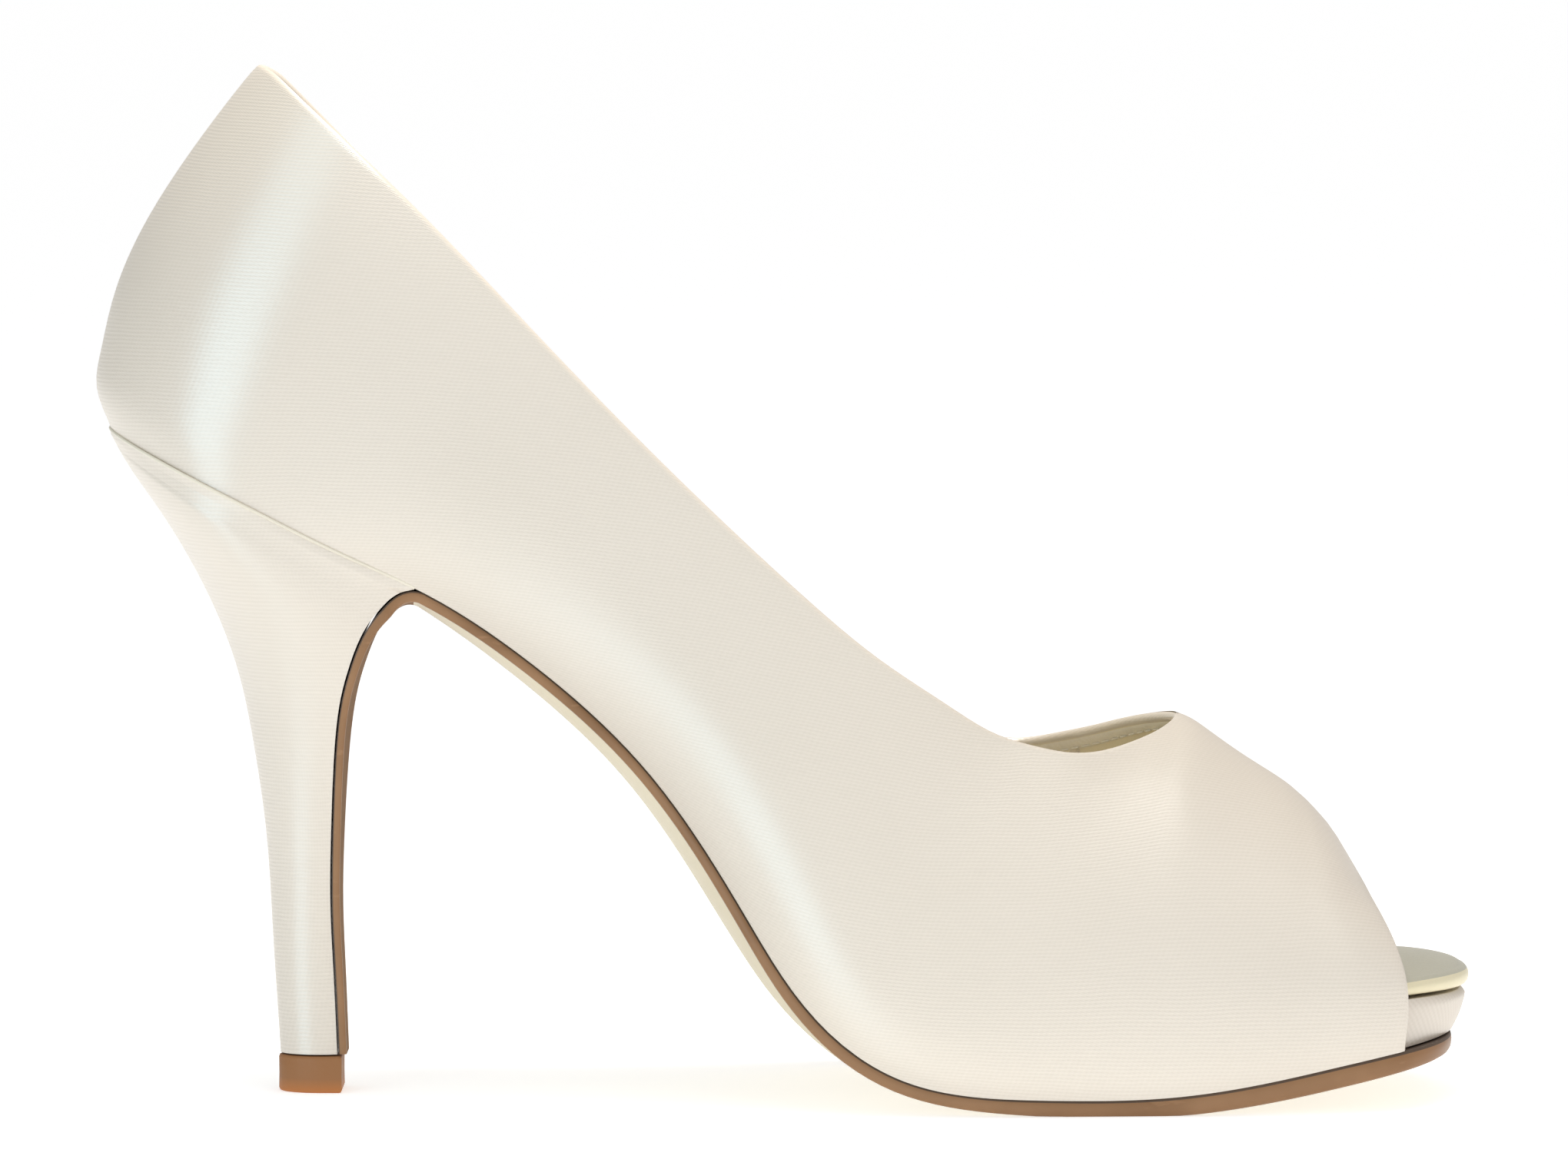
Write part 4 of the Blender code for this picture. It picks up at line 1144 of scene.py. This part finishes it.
def make_insole():
    """Leather wrapped insole with a rolled edge; its lower sides and underside are cream-gold, a painted
    sheen of the pearly leather in side light.
    """
    layers = []
    for angle in range(-90, 91, 18):
        lift = 0.5 + 0.5 * sin(radians(angle))
        pull = INSOLE_ROLL * (1 - cos(radians(angle)))
        inset = UPPER_WALL + CLEARANCE + pull
        layers.append([insole_row(arc, lift, inset) for arc in bed_stations(0.0, INSOLE_STEPS, inset)])
    make_stack("insole_leather", layers, [pewter, insole_painted_sheen], [1] * 7 + [0], "insole",
               low_finish=(1,))


def make_platform():
    """Satin wrapped platform, bulged at the top and drawn in towards the sole."""
    inset = UPPER_WALL + CLEARANCE
    tapers = [share * PLATFORM_TAPER for share in (1.0, 0.76, 0.4, 0.0, 0.05, 0.28)]
    pulls = spline([0.0, 0.12, 0.35, 0.75, 0.93, 1.0], tapers)
    layers = []
    for lift in (0.0, 0.04, 0.12, 0.22, 0.35, 0.48, 0.62, 0.75, 0.85, 0.93, 0.98, 1.0):
        nose = inset + PLATFORM_RECESS + pulls(lift)
        places = bed_stations(PLATFORM_SHARE * BED_LENGTH, PLATFORM_STEPS, inset, nose)
        layers.append([sole_row(arc, CLEARANCE + lift * STACK["platform"](arc / BED_LENGTH), inset, nose)
                       for arc in places])
    make_stack("platform_satin", layers, [satin], [0], "platform", turn=radians(35))


def outsole_layer(depth, pull):
    """One level of the sole, from 0 on top to 1 underneath, drawn in at the edges."""
    start = BEND_START_SHARE * BED_LENGTH
    inset = SOLE_INSET + pull
    nose_inset = SOLE_NOSE_INSET + pull + depth ** 3 * (SOLE_NOSE_BEVEL - EDGE_BEVEL)
    rows = []
    for arc in bed_stations(start, SOLE_STEPS, inset, nose_inset)[::-1]:
        thick = depth * STACK["outsole"](arc / BED_LENGTH)
        rows.append(sole_row(arc, -thick, inset, nose_inset, SOLE_NOSE_POWER))
    for row in rows:
        for point in row:
            point[2] = max(point[2], (1 - depth) * TREAD_LIFT)
    edge_half = abs(rows[-1][0][1])
    for k, (place, away, dish) in enumerate(flap_path()):
        share = (k + 1) / BEND_STEPS
        half = (1 - share) * edge_half + share * (heel_front_half(0.0) - pull)
        rows.append(flap_row(place - away * depth * WAIST_THICKNESS, away, half, dish))
    for down in (0.007, 0.013) + DOWN_STEPS:
        place, away = breast_point(down), breast_normal(down)
        half = heel_front_half(down) - 0.5 * pull
        rows.append(flap_row(place - away * depth * BREAST["thick"](down), away, half, 0.0))
    return rows


def make_outsole():
    """Cream underneath, with a grey-brown rim, painted edges and flap, and a painted shadow line on top where
    the gap under the upper lies in shade.
    """
    layers = [outsole_layer(depth, pull) for depth, pull in
              ((1.0, 0.0013), (1.0, 0.0008), (0.92, 0.00025), (0.74, 0.00004), (0.40, 0.0),
               (0.13, 0.00004), (0.0, 0.00020))]
    bed_rows = len(bed_stations(BEND_START_SHARE * BED_LENGTH, SOLE_STEPS, SOLE_INSET, SOLE_NOSE_INSET))
    # The sole's top band and top face take the painted shadow; the narrow band at the underside's edge takes
    # the grey-brown rim.
    make_stack("outsole_leather", layers, [cream, rim_grey, paint, sole_painted_shadow, flap_brown], [1, 2, 2, 2, 2, 3],
               "outsole", low_finish=[0] * (bed_rows + 3) + [4], high_finish=(3,))


def make_heel_seam():
    """Thin folded edge of the heel's cover, from breast to breast round the back."""
    rows = heel_seat()
    line = [row[0] for row in rows[::-1]] + [row[-1] for row in rows[1:]]
    points = [Vector(point) + Vector((0.0, 0.0, SEAM_RISE)) for point in line]
    turns = [2 * pi * k / SEAM_SIDES for k in range(SEAM_SIDES)]
    builder = bmesh.new()
    rings = []
    for k, point in enumerate(points):
        along = (points[min(k + 1, len(points) - 1)] - points[max(k - 1, 0)]).normalized()
        out = along.cross(Vector((0.0, 0.0, 1.0))).normalized()
        up = out.cross(along)
        arms = [out * cos(turn) + up * sin(turn) for turn in turns]
        rings.append([builder.verts.new(point + arm * SEAM_RADIUS) for arm in arms])
    bridge(builder, rings)
    builder.faces.new(rings[0])
    builder.faces.new(rings[-1])
    finish_object("heel_seam", builder, [thread], sharp=80.0)


def make_top_piece():
    """Rubber lift with softened edges."""
    front = breast_foot() - TOP_PIECE_SETBACK
    back = breast_foot() - TIP_LENGTH - TOP_PIECE_EDGE
    half = 0.5 * TIP_WIDTH + TOP_PIECE_EDGE
    round_share = HEEL["round"](1.0)
    layers = []
    top = TOP_PIECE_HEIGHT
    for height, pull in ((0.0, 0.0005), (0.00012, 0.0002), (0.0005, 0.0), (0.003, 0.00004),
                         (top - 0.0005, 0.0), (top - 0.0001, 0.00015), (top, 0.0004)):
        rows = []
        for share in heel_shares(round_share):
            x = back + pull + (front - back - 2 * pull) * share
            width = half - pull
            if share < round_share:
                width *= sqrt(max(0.0, 1 - (1 - share / round_share) ** 2))
            rows.append([np.array([x, across * width, height]) for across in ACROSS])
        layers.append(rows)
    make_stack("top_piece_rubber", layers, [tan], [0], "top_piece")


make_insole()
make_platform()
make_outsole()
make_stack("heel_satin", heel_layers() + [heel_seat()], [satin], [0], "heel", level_cloth=True)
make_heel_seam()
make_top_piece()


# Floor, light and camera
FLOOR_RADIUS = 60.0


def make_floor():
    builder = bmesh.new()
    bmesh.ops.create_circle(builder, cap_ends=True, radius=FLOOR_RADIUS, segments=96)
    mesh = bpy.data.meshes.new("floor")
    builder.to_mesh(mesh)
    builder.free()
    mesh.materials.append(new_material("pale_floor", 0.9, Base_Color=(0.80, 0.80, 0.80, 1.0),
                                       Emission_Color=(1.0, 1.0, 1.0, 1.0), Emission_Strength=0.50)[0])
    add_object("floor", mesh)


def make_light(name, place, target, width, height, power, colour):
    light = bpy.data.lights.new(name, "AREA")
    light.shape = "RECTANGLE"
    light.size, light.size_y = width, height
    light.energy = power
    light.color = colour
    made = add_object(name, light)
    made.location = place
    made.rotation_euler = (Vector(target) - Vector(place)).to_track_quat("-Z", "Y").to_euler()
    made.visible_camera = False


def make_world(front, back):
    world = bpy.data.worlds.new("studio")
    bpy.context.scene.world = world
    world.use_nodes = True
    tree = world.node_tree
    direction = node(tree, "TexCoord").outputs["Generated"]
    split = node(tree, "SeparateXYZ", {0: direction})
    strength = maths(tree, "MULTIPLY", ramp(tree, split.outputs[1], -0.8, 0.8, front, back),
                     ramp(tree, split.outputs[0], -0.9, 0.2, 0.62, 1.0))
    tree.links.new(strength, tree.nodes["Background"].inputs["Strength"])
    tree.nodes["Background"].inputs["Color"].default_value = (1.0, 1.0, 1.0, 1.0)


make_floor()
make_world(0.78, 0.60)
for light_row in (
        # name, place, target, width, height, watts, colour
        ("key", (-0.86, -1.10, 0.26), (-0.05, 0.0, 0.08), 0.66, 0.70, 4.4, (0.56, 0.86, 1.0)),
        ("top", (0.1, -0.2, 1.4), (0.0, 0.0, 0.05), 0.9, 0.9, 4.5, (1.0, 0.98, 0.95)),
        ("inside", (-0.02, 0.0, 0.34), (0.05, 0.0, 0.03), 0.06, 0.06, 0.50, (1.0, 0.95, 0.84))):
    make_light(*light_row)

CAMERA_DISTANCE = 1.5
CAMERA_RISE = radians(4.1)
LOOK_AT = Vector((0.0, 0.0, 0.0846))
SENSOR_WIDTH = 36.0
PICTURE_WIDTH = 2040
PIXELS_PER_METRE = 7750
camera_data = bpy.data.cameras.new("camera")
camera_data.sensor_width = SENSOR_WIDTH
camera_data.lens = SENSOR_WIDTH * PIXELS_PER_METRE * CAMERA_DISTANCE / PICTURE_WIDTH
camera = add_object("camera", camera_data)
back_to_camera = Vector((0.0, -cos(CAMERA_RISE), sin(CAMERA_RISE)))
camera.location = LOOK_AT + back_to_camera * CAMERA_DISTANCE
camera.rotation_euler = back_to_camera.to_track_quat("Z", "Y").to_euler()
bpy.context.scene.camera = camera
bpy.context.scene.view_settings.view_transform = "Standard"
